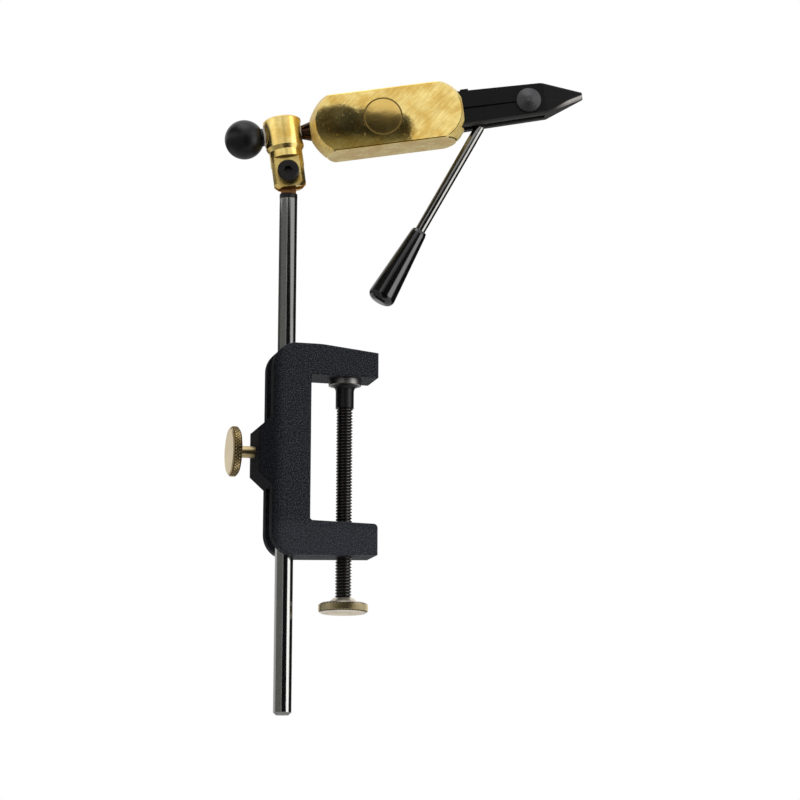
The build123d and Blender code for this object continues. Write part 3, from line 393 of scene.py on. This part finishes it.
# %% Plain disc
RIM_LINE, RIM_LINE_WIDTH = 9.7, 0.2
disc, start = new_finish("disc_gold")
radius = outward(start, middle_of("face_disc"), NEAR_SIDE)
groove = rise(radius, RIM_LINE - RIM_LINE_WIDTH, RIM_LINE)
strokes = grain(start, 1, 4, 0.65, trio(start, radius * 1.3, 0, 0))
warm = blend(grain(start, 9, 4, 0.6), (214, 176, 94), (236, 206, 126))
dress(
    disc, height=strokes * 0.03 + grain(start, 5.5, 2) * 0.3, depth=0.05, strength=0.55,
    Base_Color=blend(groove * 0.8, warm, (58, 40, 16)),
    Metallic=1.0,
    Roughness=0.045 + strokes * 0.03 + groove * 0.3,
)
paint(disc, "face_disc")

# %% [markdown]
# Dark polished bar
#
# The post, the spindle and the lever's rod are drawn bar with a dark smoky polish. Such bar
# has fine drawing lines along its length and a few handling marks. The stripes that it
# shows are reflections, so they come from the lights and cards and not from its colour.

# %% Dark bar
def dark_bar(name, origin, direction, deep, light, *names):
    material, start = new_finish(name)
    side = direction.orthogonal().normalized()
    first = along(start, origin, side)
    second = along(start, origin, direction.cross(side))
    length = along(start, origin, direction)
    drawn = grain(start, 1, 3, 0.6, trio(start, first * 5, second * 5, length * 0.06))
    marks = rise(grain(start, 3, 4, 0.7), 0.6, 0.75)
    dress(
        material, height=drawn, depth=0.012, strength=0.5,
        Base_Color=blend(grain(start, 18, 3), deep, light),
        Metallic=1.0,
        Roughness=0.08 + drawn * 0.08 + marks * 0.08,
    )
    paint(material, *names)


ROD_WAY = (middle_of("lever_grip") - LEVER_PIVOT).normalized()
dark_bar("bar_post", POST_CENTRE, SCREW_AXIS, (134, 134, 132), (150, 150, 148), "post")
dark_bar("bar_spindle", HEAD_ORIGIN, FORWARD, (48, 32, 22), (70, 49, 34), "head_spindle")
dark_bar("bar_rod", LEVER_PIVOT, ROD_WAY, (122, 121, 118), (138, 137, 134), "lever_rod")

# %% [markdown]
# Satin brass
#
# Both thumb knobs are brass straight from the lathe: pale, satin, with fine rings on their
# faces. The pivot stud, which sits between the knuckle's cheeks, is brass too but coloured a
# darker brown. Rings are noise along the distance from the axis, so they follow any turned face.

# %% Brass
LOCK_CENTRE = Vector(joints["lock_turn"]["pos_m"])
LOCK_WAY = Vector(joints["lock_turn"]["axis"])


def brass(name, distance_of, deep, light, node):
    material, start = new_finish(name)
    rings = lines(start, distance_of(start), 0.18)
    tone = grain(start, 6, 4, 0.6)
    dress(
        material, height=rings * 0.7 + tone * 0.3, depth=0.02, strength=0.7,
        Base_Color=blend(tone, deep, light),
        Metallic=1.0,
        Roughness=0.26 + rings * 0.16,
    )
    paint(material, node)


def from_lock_axis(start):
    return outward(start, LOCK_CENTRE, LOCK_WAY)


def from_screw_axis(start):
    return outward(start, ORIGIN, SCREW_AXIS)


def up_the_stud(start):
    return along(start, PIVOT, SCREW_AXIS)


brass("brass_lock", from_lock_axis, (188, 164, 116), (218, 200, 158), "lock_screw")
brass("brass_clamp", from_screw_axis, (236, 222, 196), (252, 244, 228), "clamp_knob")
brass("brass_stud", up_the_stud, (128, 88, 54), (168, 122, 78), "pivot_stud")

# %% [markdown]
# Oiled black steel
#
# The small screws and the ring on the post are steel blacked in hot salts and oiled. Black
# has little colour to vary, so the roughness does most of the work. The clamp screw has the
# same black, but the table clamp has been used: its thread's crests are rubbed grey, and its
# foot is faced flush with the brass knob and takes the knob's colour. Both are masks, one by
# the distance from the axis and one by the height, because wear follows the shape.

# %% Black screws, and the clamp screw's rubbed crests
OXIDE = (27, 25, 25), (46, 43, 42)
oxide, start = new_finish("black_oxide")
tone = grain(start, 2, 4, 0.6)
dress(
    oxide, height=grain(start, 0.4, 2), depth=0.015, strength=0.6,
    Base_Color=blend(tone, *OXIDE), Metallic=0.7, Roughness=0.24 + tone * 0.18,
)
paint(oxide, "tilt_screw", "spindle_grub", "stud_ring")

CREST_DEEP, CREST_BARE = 0.3, 0.05
FOOT_BARE, FOOT_BLACK = 0.6, 0.9
SCREW_LOW, SCREW_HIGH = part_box("clamp_screw")
SCREW_RADIUS = (SCREW_HIGH.x - SCREW_LOW.x) / MM / 2
threaded, start = new_finish("black_thread")
tone = grain(start, 2, 4, 0.6)
crest = rise(from_screw_axis(start), SCREW_RADIUS - CREST_DEEP, SCREW_RADIUS - CREST_BARE)
faced = fall(along(start, Vector(SCREW_LOW), SCREW_AXIS), FOOT_BARE, FOOT_BLACK)
black = blend(crest * 0.8, blend(tone, *OXIDE), (98, 95, 93))
dress(
    threaded, height=grain(start, 0.4, 2), depth=0.015, strength=0.6,
    Base_Color=blend(faced, black, (240, 226, 200)),
    Metallic=0.7 + crest * 0.3,
    Roughness=0.24 + tone * 0.18,
)
print("screw radius", round(SCREW_RADIUS, 2), "mm")

# %% [markdown]
# The jaws
#
# The jaws are a dry matte black, with a fine crease scribed along the nose. A light metallic
# band runs along the lower edge, brightest near the tip: it is part bare steel where hooks and
# fingers have rubbed, and part painted highlight of the lit edge. The lower edge is two
# straight runs, so the larger of two lines gives the height above it, and the band lies along
# that height. The crease is shallow enough for bump to carry it.

# %% Matte black jaws with a crease, and a nose edge of wear and painted highlight
CREASE_START, CREASE_END, CREASE_HALF, CREASE_SLOPE = 137.5, 152.0, 0.22, 0.06
CREASE_FADE_IN, CREASE_FADE_OUT = 1, 2
FOOT_START, FOOT_LEVEL, FOOT_SLOPE = 96.5, -9.2, 0.0247
NOSE_START, NOSE_LEVEL, NOSE_SLOPE = 141.0, -8.1, 0.327
TIP_BRIGHT_START, TIP_BRIGHT_FULL, TIP_BRIGHT_WIDTH = 3, 14, 1.3
jaw_black, start = new_finish("black_jaws")
reach, height, out = (along(start, HEAD_ORIGIN, way) for way in HEAD_WAYS)
tone = grain(start, 7, 4, 0.65)
# Here the mask holds real dust: pale specks at random on the black.
dust_and_painted_light = rise(grain(start, 0.6, 3, 0.7), 0.6, 0.75)
crease = fall(abs(height + (reach - CREASE_START) * CREASE_SLOPE), CREASE_HALF, 2 * CREASE_HALF)
crease = crease * rise(reach, CREASE_START - CREASE_FADE_IN, CREASE_START)
crease = crease * fall(reach, CREASE_END, CREASE_END + CREASE_FADE_OUT)
foot = FOOT_LEVEL + (reach - FOOT_START) * FOOT_SLOPE
nose = NOSE_LEVEL + (reach - NOSE_START) * NOSE_SLOPE
above_edge = height - reach.sum_of("MAXIMUM", foot, nose)
# Wear and painted highlight: a light metallic band along the lower edge, widest near the tip.
near_tip = rise(reach, NOSE_START + TIP_BRIGHT_START, NOSE_START + TIP_BRIGHT_FULL)
near_tip = near_tip * rise(above_edge, 0, 0.3)
wear_and_highlight = fall(above_edge - near_tip * TIP_BRIGHT_WIDTH, 0.5, 1.3) * (0.07 + near_tip * 0.85)
dull = blend(dust_and_painted_light * 0.2, blend(tone, (11, 11, 12), (19, 18, 19)), (50, 48, 48))
dress(
    jaw_black, height=grain(start, 0.35, 3, 0.6) * 0.5 - crease * 4, depth=0.05, strength=0.6,
    Base_Color=blend(wear_and_highlight, dull, (172, 168, 164)),
    Metallic=wear_and_highlight,
    Roughness=0.5 + tone * 0.14 - wear_and_highlight * 0.2,
    Specular_IOR_Level=0.14,
)
paint(jaw_black, "near_jaw", "far_jaw", "jaw_spacer")

# %% [markdown]
# The jaws' buttons
#
# Each jaw carries a turned button, greyer than the jaw and ringed by the lathe. The rings
# are wide enough to see, so they get both a tone and a bump from the same noise, and a
# bright ring is also a high one.

# %% Turned dark buttons
BUTTON_REACH = 132.1
button, start = new_finish("button_steel")
rings = lines(start, outward(start, head_point(BUTTON_REACH, 0), NEAR_SIDE), 0.55)
dress(
    button, height=rings, depth=0.05, strength=0.8,
    Base_Color=blend(rings, (52, 51, 52), (92, 91, 93)),
    Metallic=0.8,
    Roughness=0.34 + rings * 0.2,
)
paint(button, "near_anvil", "far_anvil")

# %% [markdown]
# Moulded plastic
#
# The ball and the grip are black plastic, the ball satin from handling and the grip glossy
# from its mould. The bushes and the lock screw's shoe are pale bearing plastic. Plastic isn't
# metallic, so its highlights are white and their strength is a setting of its own.

# %% Plastic: satin ball, glossy grip, pale bushes
ball, start = new_finish("ball_plastic")
tone = grain(start, 3, 4, 0.65)
dress(
    ball, height=grain(start, 0.5, 3), depth=0.012, strength=0.5,
    Base_Color=blend(tone, (8, 8, 9), (14, 14, 15)),
    Roughness=0.32 + tone * 0.08,
    Specular_IOR_Level=0.28,
)
paint(ball, "ball_knob")

grip, start = new_finish("grip_plastic")
tone = grain(start, 6, 3, 0.6)
dress(
    grip, height=grain(start, 1.2, 2), depth=0.008, strength=0.4,
    Base_Color=blend(tone, (4, 4, 5), (9, 9, 10)),
    Roughness=0.12 + tone * 0.06,
    Specular_IOR_Level=0.75,
)
paint(grip, "lever_grip")

pale, start = new_finish("bush_plastic")
tone = grain(start, 2, 3)
dress(
    pale, height=grain(start, 0.5, 2), depth=0.01, strength=0.4,
    Base_Color=blend(tone, (158, 148, 132), (186, 178, 162)),
    Roughness=0.4 + tone * 0.1,
)
paint(pale, "rear_bush", "front_bush", "lock_shoe")

# %% [markdown]
# Bright steel
#
# Dowels, pins, the cam and the rivet are ground steel and mostly hidden. The clamp pad is
# one turned piece in two finishes: its flange is bright, because it rubs on the table, and
# its neck is still black. A mask by height, measured down from the pad's top, parts them.

# %% Ground pins and the clamp pad
pin_steel, start = new_finish("ground_pins")
tone = grain(start, 1, 3)
dress(
    pin_steel, height=tone, depth=0.01, strength=0.5,
    Base_Color=blend(tone, (120, 118, 114), (168, 166, 162)),
    Metallic=1.0,
    Roughness=0.25 + tone * 0.12,
)
paint(pin_steel, "jaw_dowels", "lever_pin", "lever_cam", "rod_rivet")

FLANGE_DEPTH, FLANGE_EDGE = 3.1, 0.1
pad, start = new_finish("pad_steel")
level = along(start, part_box("clamp_pad")[1], SCREW_AXIS)
flange = rise(level, -FLANGE_DEPTH - FLANGE_EDGE, -FLANGE_DEPTH + FLANGE_EDGE)
rings = lines(start, level, 0.2)
dress(
    pad, height=rings, depth=0.02, strength=0.6,
    Base_Color=blend(flange, (26, 25, 25), (136, 134, 131)),
    Metallic=0.5 + flange * 0.5,
    Roughness=0.3 + rings * 0.16,
)
paint(pad, "clamp_pad")

# %% [markdown]
# Meshes of our own
#
# A thread and a knurl show in outline, so bump isn't enough and they need meshes. Each is a
# closed shell built point by point about an axis. Screw and Array modifiers could make them,
# but a grid of points gives full control over where each edge falls, and it exports as it is.

# %% A new piece, and places about an axis
def new_piece(name, build, material, body, slot, *replaced):
    """A mesh object from a bmesh builder, finished, dressed and set on its body."""
    shape = bmesh.new()
    build(shape)
    bmesh.ops.recalc_face_normals(shape, faces=shape.faces)
    mesh = bpy.data.meshes.new(name)
    shape.to_mesh(mesh)
    shape.free()
    piece = bpy.data.objects.new(name, mesh)
    scene.collection.objects.link(piece)
    mesh.materials.append(material)
    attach(piece, body)
    if replaced:
        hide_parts(*replaced)
    print(name, "has", len(mesh.vertices), "points and", len(mesh.polygons), "faces")
    return piece


def axis_frame(origin, direction):
    """Maps millimetres out, round and along an axis to world metres."""
    side = direction.orthogonal().normalized()
    other = direction.cross(side)

    def place(radius, angle, reach):
        flat = side * (radius * cos(angle)) + other * (radius * sin(angle))
        return origin + (flat + direction * reach) * MM
    return place


lock_place = axis_frame(LOCK_CENTRE, LOCK_WAY)
screw_place = axis_frame(ORIGIN, SCREW_AXIS)
print("1 mm up the screw is", rounded(screw_place(0, 0, 1), 4))

# %% [markdown]
# Rings, strips and fans
#
# Every turned shape is rings of points joined by strips of four-sided faces. A fan of
# triangles to a point on the axis closes an end. With these three the plain ends of the
# screw are a short list of radii, as on a drawing.

# %% A turned shell
COLUMNS = 48


def angles(columns):
    return [2 * pi * column / columns for column in range(columns)]


def ring(shape, place, radius, reach, columns):
    return [shape.verts.new(place(radius, angle, reach)) for angle in angles(columns)]


def strip(shape, lower, upper):
    """Joins two rings by four-sided faces."""
    for column in range(len(lower)):
        after = (column + 1) % len(lower)
        shape.faces.new((lower[column], lower[after], upper[after], upper[column]))


def fan(shape, loop, tip):
    """Closes a loop of points by triangles to one point."""
    for here, after in zip(loop, loop[1:] + loop[:1]):
        shape.faces.new((here, after, tip))


def turned_shell(shape, place, profile):
    """A closed turned solid from (along, radius) points, fanned at both ends."""
    rows = [ring(shape, place, radius, reach, COLUMNS) for reach, radius in profile]
    for lower, upper in zip(rows, rows[1:]):
        strip(shape, lower, upper)
    for end in (0, -1):
        fan(shape, rows[end], shape.verts.new(place(0, 0, profile[end][0])))


print(COLUMNS, "columns turn by", 360 / COLUMNS, "degrees each")

# %% [markdown]
# The clamp screw's thread
#
# A grid that climbs by one pitch per turn follows the helix exactly: its columns stand round
# the axis and its rows are the thread's root, flanks and crest. Joining the last column to
# the first one pitch higher closes it round, and fans close its two ends.

# %% A helical thread
THREAD_SHARES = (0.0, 1), (0.14, 1), (0.46, 0), (0.68, 0)


def thread_shell(shape, place, start, end, pitch, crest, depth):
    """A closed helical thread between two places along its axis."""
    lift = len(THREAD_SHARES)
    count = (int((end - start) / pitch) - 1) * lift + 1
    top = count + lift - 1
    grid = []
    for column, angle in enumerate(angles(COLUMNS)):
        line = []
        for row in range(top + 1):
            step, sunk = THREAD_SHARES[row % lift]
            reach = start + (row // lift + step + column / COLUMNS) * pitch
            line.append(shape.verts.new(place(crest - sunk * depth, angle, reach)))
        grid.append(line)
    for here, after in zip(grid, grid[1:]):
        for row in range(top):
            shape.faces.new((here[row], after[row], after[row + 1], here[row + 1]))
    first, last = grid[0], grid[-1]
    for row in range(count - 1):
        seam = last[row], first[row + lift], first[row + lift + 1], last[row + 1]
        shape.faces.new(seam)
    foot_loop = [line[0] for line in grid] + first[lift:0:-1]
    head_loop = [line[top] for line in grid[::-1]] + last[top - 1:count - 2:-1]
    for loop, reach in ((foot_loop, start), (head_loop, end)):
        fan(shape, loop, shape.verts.new(place(0, 0, reach)))


print("one turn has", len(THREAD_SHARES), "rows")

# %% Threaded clamp screw
SCREW_PITCH, THREAD_DEPTH = 1.6, 0.8
SPIGOT_RADIUS, SPIGOT_LENGTH = 2.45, 11.0
NECK_RADIUS, NECK_LENGTH, NECK_GAP = 3.4, 2.5, 0.2
PLAIN_END, PLAIN_RADIUS, PLAIN_LAP = 5.0, 4.15, 1
FOOT_RADIUS, FOOT_CHAMFER = 3.5, 0.5
SCREW_FOOT, SCREW_TOP = SCREW_LOW.z / MM, SCREW_HIGH.z / MM
SHOULDER = SCREW_TOP - SPIGOT_LENGTH
THREAD_START = SCREW_FOOT + PLAIN_END


def clamp_thread(shape):
    ends = THREAD_START, SHOULDER - NECK_GAP
    thread_shell(shape, screw_place, *ends, SCREW_PITCH, SCREW_RADIUS, THREAD_DEPTH)
    turned_shell(shape, screw_place, [
        (SCREW_FOOT, FOOT_RADIUS), (SCREW_FOOT + FOOT_CHAMFER, PLAIN_RADIUS),
        (THREAD_START + PLAIN_LAP, PLAIN_RADIUS),
    ])
    turned_shell(shape, screw_place, [
        (SHOULDER - NECK_LENGTH, NECK_RADIUS), (SHOULDER, NECK_RADIUS),
        (SHOULDER, SPIGOT_RADIUS), (SCREW_TOP, SPIGOT_RADIUS),
    ])


new_piece("threaded_screw", clamp_thread, threaded, "screw", "black_screw", "clamp_screw")

# %% [markdown]
# Knurled rims
#
# A diamond knurl is two sets of rolled grooves that cross. On a grid it is simply a chess
# board: every other point is a peak and the rest lie in the grooves, as long as each square
# is cut along the groove and not along the ridge. The band has a back wall, so it is closed.

# %% A knurl band
KNURL_STEP, KNURL_HEIGHT, KNURL_WALL = 0.84, 0.7, 0.4


def knurl_band(shape, place, start, end, radius):
    columns = 2 * round(pi * radius / KNURL_STEP)
    rows = 2 * round((end - start) / KNURL_STEP / 2)
    grid = []
    for row in range(rows + 1):
        reach = start + (end - start) * row / rows
        edge = row in (0, rows)
        line = []
        for column, angle in enumerate(angles(columns)):
            peak = KNURL_HEIGHT if (row + column) % 2 == 0 and not edge else 0
            line.append(shape.verts.new(place(radius + peak, angle, reach)))
        grid.append(line)
    for row, (lower, upper) in enumerate(zip(grid, grid[1:])):
        for column in range(columns):
            after = (column + 1) % columns
            a, b, c, d = lower[column], lower[after], upper[after], upper[column]
            halves = ((a, b, d), (b, c, d)) if (row + column) % 2 == 0 else ((a, b, c), (a, c, d))
            for half in halves:
                shape.faces.new(half)
    near, far = (ring(shape, place, radius - KNURL_WALL, reach, columns) for reach in (start, end))
    for lower, upper in ((grid[0], near), (grid[-1], far), (near, far)):
        strip(shape, lower, upper)


print("knurl points are", KNURL_STEP, "mm apart and", KNURL_HEIGHT, "mm high")

# %% [markdown]
# A knurl's finish and its two rims
#
# Fingers polish a knurl's points. Its grooves are darker, partly with dirt and partly with
# painted shade. The distance from the axis tells a point from a groove, so one mask colours
# every diamond at once. The clamp knob, which hangs under the bench, has its grooves painted
# much darker than the lock screw's.

# %% Knurled rims of the two knobs
CREST_START_SHARE, CREST_FULL_SHARE = 0.12, 0.6
RIM_CHAMFER, RIM_PROUD = 0.6, 0.01


def knurl_finish(name, distance_of, radius, groove, deep, light):
    """Brass that is bright on the knurl's points, and dark in its grooves with dirt and painted
    shade.
    """
    material, start = new_finish(name)
    low, high = (radius + share * KNURL_HEIGHT for share in (CREST_START_SHARE, CREST_FULL_SHARE))
    crest = rise(distance_of(start), low, high)
    tone = grain(start, 2.5, 4, 0.65)
    return dress(
        material, height=grain(start, 0.3, 2), depth=0.02, strength=0.5,
        Base_Color=blend(crest, groove, blend(tone, deep, light)),
        Metallic=1.0,
        Roughness=0.2 + tone * 0.1,
    )


low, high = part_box("lock_screw")
LOCK_RADIUS = (high.y - low.y) / MM / 2
LOCK_FACE, LOCK_THICKNESS = (LOCK_CENTRE.x - low.x) / MM, 4.8
low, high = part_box("clamp_knob")
KNOB_RADIUS = (high.x - low.x) / MM / 2
RIM_FOOT, RIM_HEIGHT = low.z / MM, 5.4


def lock_knurl(shape):
    near, far = LOCK_FACE - LOCK_THICKNESS + RIM_CHAMFER, LOCK_FACE - RIM_CHAMFER
    knurl_band(shape, lock_place, near, far, LOCK_RADIUS + RIM_PROUD)


def clamp_knurl(shape):
    foot, top = RIM_FOOT + RIM_CHAMFER, RIM_FOOT + RIM_HEIGHT - RIM_CHAMFER
    knurl_band(shape, screw_place, foot, top, KNOB_RADIUS + RIM_PROUD)


# Groove, dark and light colours: the grooves hold dirt and painted shade, darkest on the clamp
# knob.
lock_knurl_inks = (96, 74, 38), (206, 180, 124), (244, 226, 176)
clamp_knurl_inks = (34, 24, 11), (232, 208, 152), (255, 244, 205)
lock_grip = knurl_finish("knurl_lock", from_lock_axis, LOCK_RADIUS, *lock_knurl_inks)
clamp_grip = knurl_finish("knurl_clamp", from_screw_axis, KNOB_RADIUS, *clamp_knurl_inks)
new_piece("lock_knurl", lock_knurl, lock_grip, "lock", "brass_knob")
new_piece("clamp_knurl", clamp_knurl, clamp_grip, "screw", "brass_knob")

# %% [markdown]
# White studio
#
# The picture has a white ground. The background is white for the camera and for reflections,
# while the light that falls on the vise stays at a plain level. A white world alone would
# light everything flat, so the Light Path node tells the two apart. The floor lies below the
# post's foot, because the vise hangs on a table's edge and touches no ground.

# %% World and floor
SKY_LIGHT = 0.55
world = bpy.data.worlds.new("studio_white")
scene.world = world
world.use_nodes = True
sky = Wire(world.node_tree)
camera_ray, glossy_ray, clear_ray = (
    sky.node("LightPath", out=f"Is {kind} Ray") for kind in ("Camera", "Glossy", "Transmission")
)
power = SKY_LIGHT + (1 - SKY_LIGHT) * (camera_ray + glossy_ray + clear_ray)
background = world.node_tree.nodes["Background"]
background.inputs["Color"].default_value = (1, 1, 1, 1)
world.node_tree.links.new(power.socket, background.inputs["Strength"])

FLOOR_HEIGHT, FLOOR_HALF = -0.42, 4.0
floor_mesh = bpy.data.meshes.new("floor")
corners = [(x * FLOOR_HALF, y * FLOOR_HALF) for x, y in ((-1, -1), (1, -1), (1, 1), (-1, 1))]
floor_mesh.from_pydata([(x, y, FLOOR_HEIGHT) for x, y in corners], [], [(0, 1, 2, 3)])
floor = bpy.data.objects.new("floor", floor_mesh)
scene.collection.objects.link(floor)
pale_floor, start = new_finish("floor_pale")
clouds = blend(grain(start, 400, 2), (236, 236, 236), (242, 242, 242))
floor_mesh.materials.append(dress(pale_floor, Base_Color=clouds, Roughness=0.9))
print("floor at", FLOOR_HEIGHT)

# %% [markdown]
# Camera
#
# The picture is taken from a little below and to the left, from far enough away that the
# post's edges stay nearly parallel. A lens is easier to match in pixels than in millimetres,
# so the focal length is given in pixels of the picture, and the camera slides sideways until
# the post stands at its own column.

# %% Camera
AZIMUTH, ELEVATION, ROLL = radians(-15), radians(-11), radians(0.2)
DISTANCE, FOCAL_PIXELS, IMAGE_PIXELS, SENSOR_WIDTH = 1.3, 2485.7, 800, 36
AIM_POINT, AIM_PIXEL = Vector((PIVOT.x, 0, -0.0123)), 286.0


def from_angles(azimuth, elevation):
    """The way out to a place seen under two angles, with azimuth 0 at the near side."""
    level = cos(elevation)
    return Vector((sin(azimuth) * level, -cos(azimuth) * level, sin(elevation)))


back = from_angles(AZIMUTH, ELEVATION)
ahead = -back
right = ahead.cross(Vector((0, 0, 1))).normalized()
above = right.cross(ahead)
level_right = right * cos(ROLL) + above * sin(ROLL)
level_up = above * cos(ROLL) - right * sin(ROLL)
aside = (AIM_PIXEL - IMAGE_PIXELS / 2) / FOCAL_PIXELS
camera = bpy.data.objects.new("camera", bpy.data.cameras.new("camera"))
camera.data.sensor_width = SENSOR_WIDTH
camera.data.lens = SENSOR_WIDTH * FOCAL_PIXELS / IMAGE_PIXELS
turn = Matrix((level_right, level_up, back)).transposed().to_4x4()
eye = AIM_POINT - DISTANCE * (ahead + aside * level_right)
camera.matrix_world = Matrix.Translation(eye) @ turn
scene.collection.objects.link(camera)
scene.camera = camera
print("lens", round(camera.data.lens, 1), "mm at", rounded(camera.location))

# %% [markdown]
# Lamps
#
# Four soft boxes light the vise: a large one at the right for the bright edges, a small one
# above it for the block's brow, one overhead and a weak one at the left. A lamp's watts say
# little about how it looks in a polished bar, so each is given by its brightness there, and
# its power follows from its area.

# %% Lights
LIGHT_AIM = Vector((0, 0, 0.05))


def softbox(name, azimuth, elevation, distance, width, height, radiance):
    """A soft rectangular lamp that faces the vise, by its brightness as reflections see it."""
    way = from_angles(radians(azimuth), radians(elevation))
    lamp = bpy.data.lights.new(name, "AREA")
    lamp.shape = "RECTANGLE"
    lamp.size, lamp.size_y = width, height
    lamp.energy = radiance * pi * width * height
    holder = bpy.data.objects.new(name, lamp)
    holder.rotation_mode = "QUATERNION"
    holder.location = LIGHT_AIM + way * distance
    holder.rotation_quaternion = (-way).to_track_quat("-Z", "Y")
    scene.collection.objects.link(holder)
    print(name, "gives", round(lamp.energy, 1), "W")


softbox("right_box", 51, -5, 1.2, 0.8, 0.61, 2.4)
softbox("brow_box", 45, 29, 1.2, 0.5, 0.28, 1.7)
softbox("top_box", -30, 70, 1.3, 0.9, 0.9, 1.6)
softbox("left_box", -75, 25, 1.4, 0.7, 0.9, 0.4)

# %% [markdown]
# Cards for reflections
#
# Polished metal only looks polished if it has something dark to reflect. Seven cards stand
# round the vise for that, and only reflections can see them. Painting the dark on the metal
# would be simpler, but then it would turn with the joint instead of staying in the room.

# %% Cards that face the post
def card(name, points, ink):
    """A flat card that only reflections can see, in a screen colour or a painted one."""
    mesh = bpy.data.meshes.new(name)
    mesh.from_pydata(points, [], [tuple(range(len(points)))])
    holder = bpy.data.objects.new(name, mesh)
    scene.collection.objects.link(holder)
    material, start = new_finish(name)
    shade = ink(start) if callable(ink) else colour(*ink)
    mesh.materials.append(dress(material, Base_Color=shade, Roughness=0.9))
    holder.visible_camera = False
    holder.visible_diffuse = False
    holder.visible_transmission = False
    holder.visible_shadow = False
    print(name, "has", len(points), "corners")


def upright_card(name, azimuth, distance, half, foot, top, ink):
    """A rectangular card that faces the post from an azimuth."""
    way = from_angles(radians(azimuth), 0)
    across = Vector((-way.y, way.x, 0))
    middle = POST_CENTRE + way * distance
    outline = ((-half, foot), (half, foot), (half, top), (-half, top))
    card(name, [middle + across * x + Vector((0, 0, z)) for x, z in outline], ink)


upright_card("right_card", 107, 0.7, 0.45, -0.5, 0.5, (30, 30, 30))
upright_card("left_card", -68, 0.14, 0.126, -0.3, 0.14, (176, 176, 172))
upright_card("rear_card", -140, 0.3, 0.24, 0.05, 0.18, (105, 105, 102))
upright_card("high_card", -85, 0.6, 0.7, 0.42, 1.1, (52, 52, 52))

# %% [markdown]
# The dark patch in the block's face
#
# The block's face is a mirror, and the picture shows a dark shape in it with a ragged top.
# To put that shape where it is seen, the eye is mirrored in the face, and a ray from there
# through each corner of the shape lands on the card. The same plane holds a card for the
# knuckle's flat and one for the post.

# %% Cards near the camera
CARD_DISTANCE, FACE_OUT = 0.35, 11.0
PATCH_FADE_START, PATCH_FADE_END = -1, 8
FACE_SHADOW = (
    (66, -17), (69, -8), (67.4, -2.6), (63.7, 0), (59, 0.9), (52.5, 3), (46.7, 3.5), (44, 5.6),
    (40.6, 5.5), (37.5, 8), (33.6, 9.4), (27.8, 9.6), (21.3, 8.9), (16, 6), (16, -17),
)
FLAT_SHADOW = ((-9, -34), (9, -34), (9, -11), (-9, -11))
POST_SHADOW = ((-0.045, -0.45), (0.42, -0.45), (0.42, 0.12), (0.2, 0.2), (-0.045, 0.2))
level_back = Vector((back.x, back.y, 0)).normalized()
card_middle = POST_CENTRE + level_back * CARD_DISTANCE


def seen_in_face(reach, lift):
    """The place on the card that the block's face shows at a point, by the mirrored eye."""
    point = head_point(reach, lift, FACE_OUT)
    mirrored = camera.location - 2 * NEAR_SIDE * NEAR_SIDE.dot(camera.location - point)
    ray = point - mirrored
    return point + ray * (level_back.dot(card_middle - point) / level_back.dot(ray))


SHADOW_FOOT = seen_in_face(45, -14)


def mottled(start):
    """Dark cloth, lighter towards its foot and in patches."""
    patch = rise(grain(start, 16, 3, 0.6), 0.4, 0.7) * 0.65
    low = fall(along(start, SHADOW_FOOT, SCREW_AXIS), PATCH_FADE_START, PATCH_FADE_END)
    cloth = blend(patch, (22, 23, 27), (112, 114, 112))
    return blend(low * 0.8, cloth, (182, 178, 150))


card("face_card", [seen_in_face(*corner) for corner in FACE_SHADOW], mottled)
card("flat_card", [seen_in_face(*corner) for corner in FLAT_SHADOW], (74, 68, 60))
post_corners = [card_middle + right * x + Vector((0, 0, z)) for x, z in POST_SHADOW]
card("dark_card", post_corners, (20, 20, 20))

# %% [markdown]
# Picture settings
#
# The Standard view shows colours as they were picked, where a film-like view would soften
# the whites.

# %% Picture settings
scene.view_settings.view_transform = "Standard"
